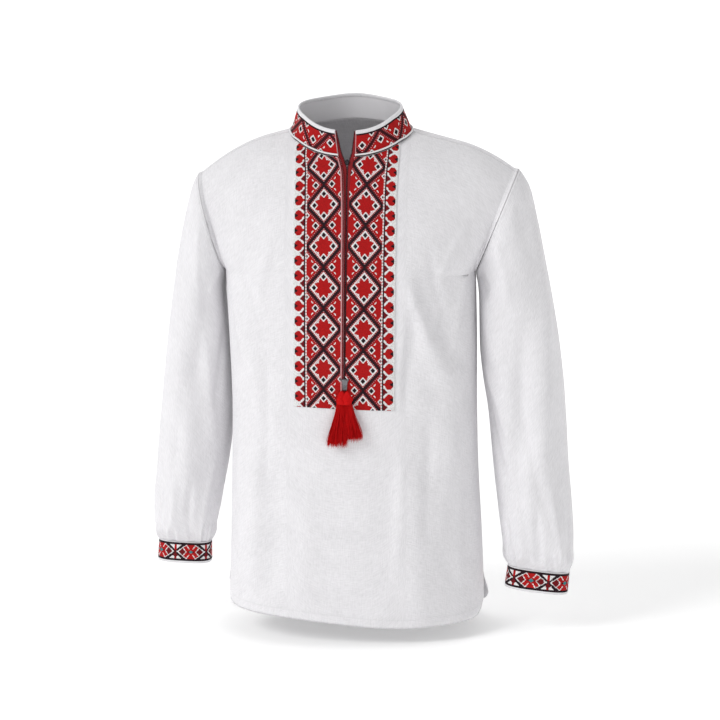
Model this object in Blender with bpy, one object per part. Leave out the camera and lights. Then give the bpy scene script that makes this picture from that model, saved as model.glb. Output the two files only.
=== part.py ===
"""A folk shirt of white linen, hollow, in the round form that it has when it is worn.

The shirt hangs from its shoulders. The body is a front and a back, sewn at the shoulders and
sides, with armholes, a neck and a curved hem with side vents. Two long sleeves are gathered
into embroidered cuffs. A standing collar with a white binding is open at the front, where a
zip runs down a slit. An embroidered panel lies on the chest round the slit, and two tassels
hang from the metal cap at the slit's foot.

Lengths are in metres. +Z is up, the wearer's front faces -Y, and the origin is the middle of
the neck, level with the shoulders' highest points, where the wearer holds the shirt up.
"""
import math

import bpy
import numpy as np

# Cloth
CLOTH = 0.0015
SEAM_GAP = 0.0003
PANEL_CLOTH = 0.0013
COLLAR_CLOTH = 0.0022
TAPE_CLOTH = 0.0010

# Body: heights of the level under the arms and of the hem, half widths and depths
ARMPIT_Z = -0.215
HEM_Z = -0.7275
HEM_TILT = 0.0065
HEM_CURVE = 0.004
VENT_RISE = 0.022
VENT_ROUNDING = 50
VENT_FROM = 0.93
VENT_FLARE_RIGHT = 0.0065
VENT_FLARE_LEFT = 0.0030
HALF_CHEST = 0.187
RIGHT_TIP_X = 0.245
LEFT_TIP_X = 0.228
BODY_SQUARENESS = 2.4
BACK_ROOF = 0.60
ARMHOLE_HALF_DEPTH = 0.062
SIDE_SHIFT_FROM = 0.40
ROUND_SIDES_FROM = 0.45
FOLD_LEVEL_OVER = 0.33
SEAM_CALM_ACROSS = 0.12
SEAM_CALM_OVER = (0.15, 0.50)
SMOOTH_BELOW_DEGREES = 50.0

# Shoulder line: height at the neck point, slope, and the rounding towards the tip
NECK_POINT_X = 0.088
NECK_POINT_Z = -0.006
SHOULDER_SLOPE = 0.25
RIGHT_ROUND_FROM = 0.16
RIGHT_ROUND = 2.8
LEFT_ROUND_FROM = 0.12
LEFT_ROUND = 2.7
NECK_SMOOTHING = 0.03
NAPE_RISE = 0.0175
NAPE_WIDTH = 0.075
NAPE_OVER = (-0.10, 0.30)

# Lines over the shoulder are this many degrees apart from the ridge (0) to the armpit (90), and
# the seam lies one step in front of the ridge. A sleeve's ring has the same lines.
STEP_DEGREES = 7.5

# Neck: the curve runs round the shoulders' surface, forward seam to seam
NECK_HALF_WIDTH = 0.0875
NECK_MIDDLE = 0.13
NECK_REACH_FRONT = 0.366
NECK_REACH_BACK = 0.42

# Slit, chest panel and collar. The slit's edges are given by their x, and the tapes behind it
# end tape_edge from its middle line. The chest panel's outer edge follows by the shares given.
SLIT_LINE_X = 0.0030
SLIT_FOOT_Z = -0.362
SLIT_COLUMNS = ("height", "left", "right", "tape_edge")
SLIT = (
    (-0.362, -0.0026, 0.0008, 0.0003),
    (-0.250, -0.0018, 0.0027, 0.0003),
    (-0.175, -0.0016, 0.0044, 0.0003),
    (-0.120, -0.0022, 0.0052, 0.0003),
    (-0.085, -0.0040, 0.0054, 0.0003),
    (-0.060, -0.0066, 0.0074, 0.0003),
    (-0.043, -0.0122, 0.0098, 0.0050),
)
PANEL_FOLLOWS_LEFT = 0.25
PANEL_FOLLOWS_RIGHT = 0.35
PANEL_WIDER_LEFT = 0.0030
PANEL_HALF_WIDTH = 0.0720
PANEL_FOOT_Z = -0.405
COLLAR_HEIGHT = 0.0372
BINDING_HEIGHT = 0.0055
COLLAR_LEAN = 0.11
COLLAR_LEAN_MORE_LEFT = 0.015
COLLAR_LEAN_MORE_RIGHT = 0.065
COLLAR_FRONT_LIFT = 0.0012
COLLAR_LIFT_TURN = (0.35, 0.55)
COLLAR_LIFT_OUT = 0.6
V_LEFT_BASE = 0.0130
V_LEFT_TOP = 0.0190
V_RIGHT_BASE = 0.0110
V_RIGHT_TOP = 0.0112
PIPING_RADIUS = 0.0013
PIPING_RISE = 0.0022
PIPING_ROUND = 6

# Zip: tapes behind the slit and the collar's ends, the slider and the metal end cap
TAPE_WIDTH = 0.008
TAPE_GAP = 0.0008
TAPE_HEIGHTS = (0.0366, 0.0245, 0.0140, 0.0055)
TAPE_SHOWS = 0.0055
TAPE_SHOWS_AT_RIM = 0.0015
SLIDER_Z = -0.0515
SLIDER_CLEAR = 0.0006
SLIDER_HALF = (0.0026, 0.0042, 0.0030)
CAP_Z = -0.3690
CAP_HALF = (0.0036, 0.0088, 0.0026)
CAP_TOP_WIDTH = 1.5
PLATE_ROUND = 16
PLATE_CORNER = 0.6
PLATE_PROFILE = ((0.0, 0.92), (0.35, 1.0), (0.75, 0.92), (1.0, 0.6))

# Tassels: two heads side by side below the cap, each with its skirt of strands
TASSEL_COLUMNS = ("head_x", "foot_left", "foot_right", "foot_z")
TASSELS = {
    "tassel_left": (-0.0058, -0.0270, -0.0014, -0.4590),
    "tassel_right": (0.0056, 0.0004, 0.0238, -0.4485),
}
TASSEL_HEAD_TOP = -0.3785
TASSEL_HEAD_FOOT = -0.3975
TASSEL_HALF_WIDTH = 0.0052
TASSEL_HALF_DEPTH = 0.0044
TASSEL_FOOT_HALF_DEPTH = 0.0056
TASSEL_HEAD_PROFILE = ((0.0, 0.92), (0.18, 0.80), (0.36, 1.0), (0.72, 1.0), (1.0, 0.55))
STRANDS_ACROSS = 5
STRANDS_DEEP = 4
STRAND_SHARE = 0.61
STRAND_RINGS = (0.12, 0.5, 1.0)
STRAND_STRAIGHT = 0.45
STRAND_UNEVEN = 0.003

# Half widths and depths of the body below the arms, by share of the way down to the hem
BODY_COLUMNS = ("down", "left", "right", "front", "back")
BODY = (
    (0.00, 0.1885, 0.1835, 0.1250, 0.1120),
    (0.20, 0.1840, 0.1860, 0.1240, 0.1095),
    (0.40, 0.1805, 0.1870, 0.1215, 0.1075),
    (0.60, 0.1820, 0.1900, 0.1210, 0.1080),
    (0.80, 0.1840, 0.1960, 0.1220, 0.1100),
    (1.00, 0.1875, 0.2005, 0.1245, 0.1130),
)

# Sleeve sections below the armhole (stage 0) down to the cuff seam (last stage): the outer and
# inner edges seen from the front, half the depth from front to back, and how far back its middle is
SLEEVE_COLUMNS = ("outer_x", "outer_z", "inner_x", "inner_z", "half_depth", "back")
RIGHT_SLEEVE = (
    (0.2615, -0.0940, 0.1868, -0.2330, 0.0680, 0.001),
    (0.2730, -0.1370, 0.1882, -0.2580, 0.0690, 0.002),
    (0.2845, -0.1920, 0.1890, -0.2920, 0.0680, 0.002),
    (0.2965, -0.2520, 0.1905, -0.3320, 0.0660, 0.001),
    (0.3070, -0.3120, 0.1955, -0.3740, 0.0640, -0.001),
    (0.3150, -0.3750, 0.2030, -0.4180, 0.0630, -0.004),
    (0.3200, -0.4350, 0.2080, -0.4640, 0.0610, -0.007),
    (0.3240, -0.4950, 0.2130, -0.5120, 0.0600, -0.010),
    (0.3295, -0.5530, 0.2190, -0.5600, 0.0590, -0.013),
    (0.3330, -0.6020, 0.2245, -0.6020, 0.0570, -0.016),
    (0.3325, -0.6400, 0.2300, -0.6320, 0.0420, -0.019),
    (0.3270, -0.6640, 0.2370, -0.6545, 0.0240, -0.020),
)
LEFT_SLEEVE = (
    (-0.2395, -0.0970, -0.1925, -0.2330, 0.0670, 0.004),
    (-0.2525, -0.1430, -0.1925, -0.2570, 0.0680, 0.010),
    (-0.2645, -0.1990, -0.1905, -0.2900, 0.0670, 0.016),
    (-0.2745, -0.2600, -0.1880, -0.3290, 0.0650, 0.022),
    (-0.2835, -0.3200, -0.1862, -0.3700, 0.0630, 0.027),
    (-0.2905, -0.3800, -0.1855, -0.4140, 0.0620, 0.030),
    (-0.2975, -0.4380, -0.1868, -0.4600, 0.0610, 0.032),
    (-0.3030, -0.4950, -0.1925, -0.5060, 0.0600, 0.034),
    (-0.3065, -0.5450, -0.2010, -0.5500, 0.0590, 0.036),
    (-0.3080, -0.5880, -0.2090, -0.5900, 0.0570, 0.038),
    (-0.3070, -0.6200, -0.2170, -0.6200, 0.0420, 0.039),
    (-0.3035, -0.6400, -0.2245, -0.6430, 0.0240, 0.040),
)
SLEEVE_ROUND = int(180 / STEP_DEGREES)
GATHERS = SLEEVE_ROUND // 2
GATHER_HEIGHT = 0.0026
GATHER_FROM_STAGE = 10.6
GATHER_RUN = 0.8
GATHER_PRESSED_FROM = 11.5
END_RUN = 0.8
FOOT_SQUARENESS = 2.8
SQUARE_FROM_STAGE = 9.0
GATHER_STAGES = (11.0, 11.4, 11.75, 12.0)
CUFF_HEIGHT = 0.0335
CUFF_CLOTH = 0.0022
CUFF_ROUND = 24
CUFF_FLARE = 0.0012
CUFF_PROUD = 0.0010
ARMHOLE_GAP = 0.0004

# Largest soft folds. On the body, across runs from -1 at one side seam to 1 at the other, and
# along from the armpit level (0) to the hem (1). A negative height is a trough.
FOLD_COLUMNS = ("across_from", "along_from", "across_to", "along_to", "width", "height")
FRONT_FOLDS = (
    (0.42, -0.05, 0.83, 0.36, 0.020, 0.0050),
    (0.52, -0.06, 0.93, 0.30, 0.018, -0.0040),
    (0.90, 0.08, 0.72, 0.62, 0.022, 0.0035),
    (-0.86, 0.05, -0.66, 0.42, 0.022, 0.0040),
    (-0.74, 0.44, -0.77, 0.98, 0.021, 0.0045),
    (-0.55, 0.40, -0.58, 0.97, 0.024, -0.0035),
    (0.50, 0.45, 0.56, 1.02, 0.026, 0.0038),
    (0.76, 0.52, 0.80, 1.02, 0.022, -0.0032),
)
BACK_FOLDS = (
    (-0.84, -0.04, -0.52, 0.34, 0.022, 0.0045),
    (0.86, -0.04, 0.58, 0.38, 0.024, 0.0048),
    (-0.30, 0.10, -0.34, 0.92, 0.030, 0.0036),
    (0.18, 0.16, 0.24, 1.02, 0.028, -0.0036),
    (-0.68, 0.38, -0.72, 1.00, 0.024, -0.0034),
    (0.62, 0.42, 0.66, 1.00, 0.024, 0.0040),
)
ACROSS_LENGTH = 0.25
DOWN_LENGTH = 0.52
FOLD_FADE_IN = 0.35
FOLD_FADE_OUT = 0.25

# On a sleeve, across runs from 0 on the outer side to 0.5 on the inner side by way of the
# front and on to 1 by way of the back, and along counts the sections
RIGHT_SLEEVE_FOLDS = (
    (0.40, 1.5, 0.30, 7.5, 0.017, 0.0040),
    (0.20, 3.2, 0.36, 9.8, 0.015, -0.0050),
    (0.10, 3.0, 0.22, 8.6, 0.018, 0.0045),
    (0.62, 2.5, 0.74, 8.5, 0.020, 0.0045),
    (0.86, 4.0, 0.80, 9.5, 0.018, -0.0040),
)
LEFT_SLEEVE_FOLDS = (
    (0.36, 1.5, 0.24, 6.5, 0.018, -0.0045),
    (0.16, 4.0, 0.28, 9.8, 0.017, 0.0045),
    (0.06, 6.0, 0.14, 10.4, 0.015, -0.0035),
    (0.66, 2.0, 0.78, 8.0, 0.020, 0.0045),
    (0.90, 4.5, 0.84, 10.0, 0.018, -0.0040),
)
AROUND_LENGTH = 0.36
STAGE_LENGTH = 0.05

# Colours as seen, with roughness and metallic values
LINEN = ((0.86, 0.86, 0.87), 0.85, 0.0)
STITCHED_RED = ((0.55, 0.03, 0.03), 0.75, 0.0)
ZIP_TAPE = ((0.12, 0.02, 0.03), 0.70, 0.0)
METAL = ((0.35, 0.35, 0.37), 0.35, 1.0)
TASSEL_RED = ((0.70, 0.02, 0.03), 0.60, 0.0)


def clear_scene():
    for thing in list(bpy.data.objects):
        bpy.data.objects.remove(thing, do_unlink=True)


def material(name, look):
    colour, roughness, metallic = look
    finish = bpy.data.materials.new(name)
    finish.use_nodes = True
    shader = finish.node_tree.nodes["Principled BSDF"]
    shader.inputs["Base Color"].default_value = (*colour, 1.0)
    shader.inputs["Roughness"].default_value = roughness
    shader.inputs["Metallic"].default_value = metallic
    return finish


def smooth_step(share):
    """Eases from 0 to 1 with level ends."""
    share = np.clip(share, 0.0, 1.0)
    return share * share * (3.0 - 2.0 * share)


def through(knots, values, at):
    """Smooth cubic curve through a table's values, with slopes taken from the neighbours."""
    knots = np.asarray(knots, float)
    values = np.asarray(values, float)
    slopes = np.gradient(values, knots)
    at = np.clip(at, knots[0], knots[-1])
    index = np.clip(np.searchsorted(knots, at, side="right") - 1, 0, len(knots) - 2)
    step = knots[index + 1] - knots[index]
    t = (at - knots[index]) / step
    rise = values[index] * (2 * t**3 - 3 * t**2 + 1) + values[index + 1] * (3 * t**2 - 2 * t**3)
    bend = slopes[index] * (t**3 - 2 * t**2 + t) + slopes[index + 1] * (t**3 - t**2)
    return rise + bend * step


def fold_heights(folds, across, along, across_length, along_length):
    """Sum of soft ridges: each is a bell in section, fading out towards both of its ends."""
    total = np.zeros(np.broadcast(across, along).shape)
    for row in folds:
        fold = dict(zip(FOLD_COLUMNS, row))
        run_across = (fold["across_to"] - fold["across_from"]) * across_length
        run_along = (fold["along_to"] - fold["along_from"]) * along_length
        length = math.hypot(run_across, run_along)
        x = (across - fold["across_from"]) * across_length
        y = (along - fold["along_from"]) * along_length
        share = (x * run_across + y * run_along) / length**2
        beside = (x * run_along - y * run_across) / length
        fade = smooth_step(share / FOLD_FADE_IN) * smooth_step((1.0 - share) / FOLD_FADE_OUT)
        total = total + fold["height"] * fade * np.exp(-(beside / fold["width"]) ** 2)
    return total


def shoulder_height(x):
    """Height of the shoulder ridge: a gentle slope from the neck, rounding off to the tip."""
    from_neck = np.sqrt(x * x + NECK_SMOOTHING**2) - math.hypot(NECK_POINT_X, NECK_SMOOTHING)
    right = RIGHT_ROUND * np.maximum(0.0, x - RIGHT_ROUND_FROM) ** 2
    left = LEFT_ROUND * np.maximum(0.0, -x - LEFT_ROUND_FROM) ** 2
    return NECK_POINT_Z - SHOULDER_SLOPE * from_neck - right - left


def spread(across):
    """Share of the side's shift that a line takes: none over the chest panel, all at the side."""
    return smooth_step((np.abs(across) - SIDE_SHIFT_FROM) / (1.0 - SIDE_SHIFT_FROM))


def hem_height(across):
    """Lower on the right, with corners that round up into the vent at each side seam."""
    tilt = -HEM_TILT * np.sin(math.pi / 2 * np.clip(across / 0.6, -1.0, 1.0))
    return HEM_Z + tilt + HEM_CURVE * across**2 + VENT_RISE * np.abs(across) ** VENT_ROUNDING


def body_plain(across, over, down):
    """Outer face of the body without folds.

    across: -1 at the left side to 1 at the right. over: -1 at the armpit level in front, 0 on
    the shoulder ridge, 1 at the armpit level behind. down: 0 at the armpit level, 1 at the hem.
    """
    across, over, down = np.broadcast_arrays(across, over, down)
    back = over > 0.0
    right = across > 0.0
    tip = np.where(right, RIGHT_TIP_X, LEFT_TIP_X)
    table = {name: [row[i] for row in BODY] for i, name in enumerate(BODY_COLUMNS)}
    below = {name: through(table["down"], table[name], down) for name in BODY_COLUMNS[1:]}
    fall = over * over
    side_below = np.where(right, below["right"], below["left"])
    side_top = tip + (side_below - tip) * fall
    opened = smooth_step((down - VENT_FROM) / (1.0 - VENT_FROM))
    flare = np.where(right, VENT_FLARE_RIGHT, VENT_FLARE_LEFT) * opened
    side_top = side_top + np.where(back, flare, 0.0)
    x = across * HALF_CHEST + np.sign(across) * (side_top - HALF_CHEST) * spread(across)
    ridge_x = across * HALF_CHEST + np.sign(across) * (tip - HALF_CHEST) * spread(across)
    nape_share = smooth_step((over - NAPE_OVER[0]) / (NAPE_OVER[1] - NAPE_OVER[0])) * (1.0 - fall)
    nape = NAPE_RISE * np.exp(-(x / NAPE_WIDTH) ** 2) * nape_share
    ridge = shoulder_height(ridge_x)
    z = ridge + (ARMPIT_Z - ridge) * fall + nape + (hem_height(across) - ARMPIT_Z) * down
    front_roof = np.abs(over) * np.sqrt(2.0 - fall)
    back_share = np.minimum(fall / BACK_ROOF, 1.0)
    back_roof = np.sqrt(1.0 - (1.0 - back_share) ** 2)
    centre = np.where(back, below["back"] * back_roof, below["front"] * front_roof)
    armhole = 2.0 * ARMHOLE_HALF_DEPTH * np.abs(over) * np.sqrt(np.maximum(0.0, 1.0 - fall))
    open_round = 1.0 - np.abs(across) ** 3
    closed_round = (1.0 - np.minimum(np.abs(across), 1.0) ** BODY_SQUARENESS) ** (1.0 / BODY_SQUARENESS)
    closing = smooth_step((fall - ROUND_SIDES_FROM) / (1.0 - ROUND_SIDES_FROM))
    roundness = open_round + (closed_round - open_round) * closing
    depth = armhole + (centre - armhole) * roundness
    y = np.where(back, depth, -depth)
    return np.stack([x, y, z], axis=-1)


def unit(vectors):
    return vectors / np.maximum(np.linalg.norm(vectors, axis=-1, keepdims=True), 1e-12)


def body_out(across, over, down):
    """Direction square to the body's outer face, pointing out."""
    small = 1e-4
    low = np.maximum(across - small, -1.0)
    high = np.minimum(across + small, 1.0)
    along = body_plain(high, over, down) - body_plain(low, over, down)
    upper = np.abs(over) < 1.0
    over_low = np.where(upper, np.clip(over - small, -1.0, 1.0), over)
    over_high = np.where(upper, np.clip(over + small, -1.0, 1.0), over)
    down_step = np.where(upper, 0.0, small)
    low_down = np.maximum(down - down_step, 0.0)
    high_down = down + down_step
    roll = body_plain(across, over_high, high_down) - body_plain(across, over_low, low_down)
    roll = np.where((~upper & (over < 0.0))[..., None], -roll, roll)
    return unit(np.cross(along, roll))


def body(across, over, down):
    """Outer face of the body with its folds, and the outward direction there."""
    across, over, down = np.broadcast_arrays(np.asarray(across, float), over, down)
    plain = body_plain(across, over, down)
    out = body_out(across, over, down)
    level = down - (1.0 - over * over) * FOLD_LEVEL_OVER
    front = fold_heights(FRONT_FOLDS, across, level, ACROSS_LENGTH, DOWN_LENGTH)
    behind = fold_heights(BACK_FOLDS, across, level, ACROSS_LENGTH, DOWN_LENGTH)
    seam_calm = smooth_step((1.0 - np.abs(across)) / SEAM_CALM_ACROSS)
    calm_from, calm_to = SEAM_CALM_OVER
    seam_calm = seam_calm * smooth_step((np.abs(over) - calm_from) / (calm_to - calm_from))
    folds = np.where(over < 0.0, front, behind) * seam_calm
    return plain + folds[..., None] * out, out


def neck_over(across):
    """How far forward over the shoulder the front neckline lies, and how far back the other."""
    share = np.clip(across * HALF_CHEST / NECK_HALF_WIDTH, -1.0, 1.0)
    reach = np.sqrt(1.0 - share * share)
    return -(NECK_MIDDLE + NECK_REACH_FRONT * reach), -(NECK_MIDDLE - NECK_REACH_BACK * reach)


def closed_mesh(name, points, triangles, look):
    """One closed body from points and triangles, faces pointing out, shaded smooth."""
    points = np.asarray(points, float)
    triangles = np.asarray(triangles, int)
    used, flat = np.unique(triangles, return_inverse=True)
    triangles = flat.reshape(triangles.shape)
    points = points[used]
    a, b, c = (points[triangles[:, i]] for i in range(3))
    volume = np.einsum("ij,ij->", a, np.cross(b, c)) / 6.0
    if volume < 0.0:
        triangles = triangles[:, ::-1]
    mesh = bpy.data.meshes.new(name)
    mesh.from_pydata(points.tolist(), [], triangles.tolist())
    mesh.validate()
    mesh.shade_smooth()
    mesh.set_sharp_from_angle(angle=math.radians(SMOOTH_BELOW_DEGREES))
    mesh.materials.append(material(name, look))
    piece = bpy.data.objects.new(name, mesh)
    bpy.context.scene.collection.objects.link(piece)
    return piece


def rim(faces, offset):
    """Joins the outer faces' open edges to the inner ones, whose points come offset later."""
    count = {}
    for face in faces:
        for start, end in zip(face, (*face[1:], face[0])):
            count[(start, end)] = True
    edges = [edge for edge in count if (edge[1], edge[0]) not in count]
    walls = []
    for start, end in edges:
        walls.append((end, start, start + offset))
        walls.append((end, start + offset, end + offset))
    return walls


def cloth_wall(name, outer, inner, look, keep=None, ring=False):
    """A wall of cloth between two grids of points with the same rows and columns."""
    rows, columns = outer.shape[:2]
    spans = columns if ring else columns - 1
    faces = []
    for row in range(rows - 1):
        for column in range(spans):
            if keep is not None and not keep[row, column]:
                continue
            after = (column + 1) % columns
            a = row * columns + column
            b = row * columns + after
            c = (row + 1) * columns + after
            d = (row + 1) * columns + column
            faces.append((a, b, c))
            faces.append((a, c, d))
    offset = rows * columns
    back = [(c + offset, b + offset, a + offset) for a, b, c in faces]
    points = np.concatenate([outer.reshape(-1, 3), inner.reshape(-1, 3)])
    return closed_mesh(name, points, faces + back + rim(faces, offset), look)


def half_lines(inner_lines):
    """Lines across a panel, the same on both sides."""
    lines = list(inner_lines)
    return np.array([-value for value in reversed(lines) if value > 0.0] + lines)


PANEL_EDGE = PANEL_HALF_WIDTH / HALF_CHEST
SLIT_LINE = SLIT_LINE_X / HALF_CHEST
NECK_LINE = NECK_HALF_WIDTH / HALF_CHEST
NECK_MIDDLE_POINT = (0.0, -0.012, 0.0)
CHEST_LINES = tuple(SLIT_LINE + (PANEL_EDGE - SLIT_LINE) * i / 5 for i in range(6))
NECK_LINES = (0.430, 0.456, NECK_LINE)
SIDE_LINES = (0.545, 0.635, 0.725, 0.810, 0.885, 0.940, 0.977, 0.993, 1.0)
BACK_LINES = (0.0, 0.13, 0.25, 0.35) + NECK_LINES[:2] + (NECK_LINE,) + SIDE_LINES
PANEL_DOWN = (ARMPIT_Z - PANEL_FOOT_Z) / (ARMPIT_Z - HEM_Z)
SLIT_DOWN = (ARMPIT_Z - SLIT_FOOT_Z) / (ARMPIT_Z - HEM_Z)
FRONT_UPPER_ROWS = int(90 / STEP_DEGREES) - 1
BACK_UPPER_ROWS = int(90 / STEP_DEGREES) + 1
SHOULDER_RADIUS = 0.17
SLIT_ROWS = 4
LOWER_ROWS = 8
BACK_LOWER_ROWS = 11


def slit_value(name, z):
    column = SLIT_COLUMNS.index(name)
    return through([row[0] for row in SLIT], [row[column] for row in SLIT], z)


def slit_shift(across, z):
    """How far a line on the chest moves so that the first one on each side of the slit lies on
    its edge: lines further out follow less, and those past the panel soon not at all."""
    right = across > 0.0
    edge = np.where(right, slit_value("right", z), slit_value("left", z)) / HALF_CHEST
    follow = np.where(right, PANEL_FOLLOWS_RIGHT, PANEL_FOLLOWS_LEFT)
    wider = np.where(right, 0.0, -PANEL_WIDER_LEFT / HALF_CHEST)
    from_middle = np.abs(across)
    share = np.clip((from_middle - SLIT_LINE) / (PANEL_EDGE - SLIT_LINE), 0.0, 1.0)
    outside = np.clip((NECK_LINES[0] - from_middle) / (NECK_LINES[0] - PANEL_EDGE), 0.0, 1.0)
    inside = (edge - np.sign(across) * SLIT_LINE) * (1.0 + (follow - 1.0) * share)
    return (inside + wider * share) * outside


def front_rows(across):
    """Shares over the shoulder of the rows above the armpit level, for lines across the chest."""
    top, _ = neck_over(across)
    seam = -math.sin(math.radians(STEP_DEGREES) + SEAM_GAP / SHOULDER_RADIUS)
    top = np.arcsin(np.where(np.abs(across) < NECK_LINE, top, seam))
    share = np.linspace(0.0, 1.0, FRONT_UPPER_ROWS + 1)[:, None]
    return np.sin(top + (-math.pi / 2 - top) * share)


def front_grid():
    """Places and points of the front's outer face, row by row, and the outward directions."""
    lines = half_lines(CHEST_LINES + NECK_LINES + SIDE_LINES)
    upper = front_rows(lines)
    slit = np.linspace(0.0, SLIT_DOWN, SLIT_ROWS + 1)[1:]
    lower = np.linspace(PANEL_DOWN, 1.0, LOWER_ROWS + 1)
    below = np.concatenate([slit, lower])[:, None] + np.zeros_like(lines)
    over = np.concatenate([upper, np.full(below.shape, -1.0)])
    down = np.concatenate([np.zeros(upper.shape), below])
    across = lines + slit_shift(lines, body_plain(lines, over, down)[..., 2])
    for row in range(len(upper)):
        over[row] = front_rows(across[row])[row]
    points, out = body(across, over, down)
    points[..., 1] -= SEAM_GAP / 2
    return across, over, down, points, out


def front_and_panel():
    """The front with its slit, and the embroidered panel made from its points, moved out."""
    across, over, down, points, out = front_grid()
    rows = points.shape[0]
    middle = across.shape[1] // 2 - 1
    slit_rows = FRONT_UPPER_ROWS + SLIT_ROWS
    keep = np.ones((rows - 1, across.shape[1] - 1), bool)
    keep[:slit_rows, middle] = False
    cloth_wall("front", points, points - CLOTH * out, LINEN, keep)
    panel_rows = slit_rows + 2
    first = middle + 1 - len(CHEST_LINES)
    last = middle + len(CHEST_LINES)
    part = (slice(0, panel_rows), slice(first, last + 1))
    below = points[part] + SEAM_GAP * out[part]
    above = below + PANEL_CLOTH * out[part]
    cloth_wall("plastron", above, below, STITCHED_RED, keep[:panel_rows - 1, first:last])
    beside = (slice(0, slit_rows + 1), middle)
    for name, side in (("zip_tape_left", -1.0), ("zip_tape_right", 1.0)):
        zip_tape(name, side, over[beside], down[beside], points[(*beside, 2)])


def zip_tape(name, side, over, down, heights):
    """One tape: behind the slit's edge, and on up inside the collar's front end."""
    left = slit_value("left", heights)
    right = slit_value("right", heights)
    edge = right if side > 0.0 else left
    inner = (left + right) / 2 + side * np.maximum(slit_value("tape_edge", heights), SEAM_GAP)
    across = np.stack([inner, edge, edge + side * TAPE_WIDTH], axis=1) / HALF_CHEST
    behind, facing = body(across, over[:, None], down[:, None])
    face = behind - (CLOTH + TAPE_GAP) * facing
    rows = []
    rows_out = []
    for height in TAPE_HEIGHTS:
        share = height / COLLAR_HEIGHT
        end = collar_end(side, share)
        shows = TAPE_SHOWS + (TAPE_SHOWS_AT_RIM - TAPE_SHOWS) * share
        width = NECK_HALF_WIDTH * (1.0 - COLLAR_LEAN * share)
        places = side * np.array([end - shows, end, end + TAPE_WIDTH])
        turn = np.arcsin(places / width)
        level = np.full(3, height)
        facing_row = collar_out(turn, level)
        rows.append(collar_face(turn, level) - (COLLAR_CLOTH + 2 * SEAM_GAP) * facing_row)
        rows_out.append(facing_row)
    face = np.concatenate([np.stack(rows), face])
    facing = np.concatenate([np.stack(rows_out), facing])
    cloth_wall(name, face, face - TAPE_CLOTH * facing, ZIP_TAPE)


def back_panel():
    across = half_lines(BACK_LINES)
    _, top = neck_over(across)
    seam = -math.sin(math.radians(STEP_DEGREES))
    top = np.arcsin(np.where(np.abs(across) < NECK_LINE, top, seam))
    upper = np.linspace(0.0, 1.0, BACK_UPPER_ROWS + 1)[:, None]
    over = np.sin(top[None, :] + (math.pi / 2 - top[None, :]) * upper)
    down = np.linspace(0.0, 1.0, BACK_LOWER_ROWS + 1)[1:, None]
    over = np.concatenate([over, np.ones((len(down), len(across)))])
    down = np.concatenate([np.zeros((BACK_UPPER_ROWS + 1, 1)), down]) + np.zeros_like(over)
    points, out = body(across[None, :] + np.zeros_like(over), over, down)
    points[..., 1] += SEAM_GAP / 2
    cloth_wall("back", points, points - CLOTH * out, LINEN)


def sleeve_point(table, stage, turn):
    """Outer face of a sleeve: an ellipse through the section's two edges, front side first,
    with a flatter front and back near the cuff."""
    stages = np.arange(len(table))
    row = {name: through(stages, [line[i] for line in table], stage) for i, name in enumerate(SLEEVE_COLUMNS)}
    middle_x = (row["outer_x"] + row["inner_x"]) / 2
    middle_z = (row["outer_z"] + row["inner_z"]) / 2
    reach_x = (row["outer_x"] - row["inner_x"]) / 2
    reach_z = (row["outer_z"] - row["inner_z"]) / 2
    angle = 2 * math.pi * np.asarray(turn, float)
    square = smooth_step((stage - SQUARE_FROM_STAGE) / (stages[-1] - SQUARE_FROM_STAGE))
    power = 2.0 / (2.0 + (FOOT_SQUARENESS - 2.0) * square)
    side = np.sign(np.cos(angle)) * np.abs(np.cos(angle)) ** power
    front = np.sign(np.sin(angle)) * np.abs(np.sin(angle)) ** power
    x = middle_x + reach_x * side
    y = row["back"] - row["half_depth"] * front
    z = middle_z + reach_z * side
    return np.stack([x, y, z], axis=-1)


def sleeve_face(table, folds, stage, turn):
    """Outer face with folds and gathers, and the direction out. Both ends stay in their rings."""
    stage, turn = np.broadcast_arrays(np.asarray(stage, float), np.asarray(turn, float))
    small = 1e-3
    last = len(table) - 1
    plain = sleeve_point(table, stage, turn)
    along = sleeve_point(table, np.minimum(stage + small, last), turn)
    along = along - sleeve_point(table, np.maximum(stage - small, 0.0), turn)
    around = sleeve_point(table, stage, turn + small) - sleeve_point(table, stage, turn - small)
    out = unit(np.cross(around, along))
    middle = (sleeve_point(table, stage, 0.0) + sleeve_point(table, stage, 0.5)) / 2
    out = out * np.sign(np.sum(out * (plain - middle), axis=-1, keepdims=True))
    flat = unit(plain - middle)
    at_end = np.maximum(smooth_step(1.0 - stage / END_RUN), smooth_step(stage - (last - 1.0)))
    out = unit(out + (flat - out) * at_end[..., None])
    wrapped = [turn - 1.0, turn, turn + 1.0]
    folded = sum(fold_heights(folds, each, stage, AROUND_LENGTH, STAGE_LENGTH) for each in wrapped)
    folded = folded * smooth_step(stage / 2.0) * smooth_step((last - stage) / 2.0)
    pressed = 0.5 * smooth_step((stage - GATHER_PRESSED_FROM) / (last - GATHER_PRESSED_FROM))
    full = smooth_step((stage - GATHER_FROM_STAGE) / GATHER_RUN) * (1.0 - pressed)
    gathered = GATHER_HEIGHT * full * np.cos(2 * math.pi * GATHERS * turn)
    return plain + (folded + gathered)[..., None] * out, out


def ring_strip(first, count, second, double):
    """Triangles between two rings of points; the second may have twice as many."""
    faces = []
    for i in range(count):
        after = (i + 1) % count
        if double:
            low = second + 2 * i
            middle = low + 1
            high = second + (2 * i + 2) % (2 * count)
            faces += [(first + i, middle, low), (first + i, first + after, middle)]
            faces += [(first + after, high, middle)]
        else:
            faces += [(first + i, first + after, second + after), (first + i, second + after, second + i)]
    return faces


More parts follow.
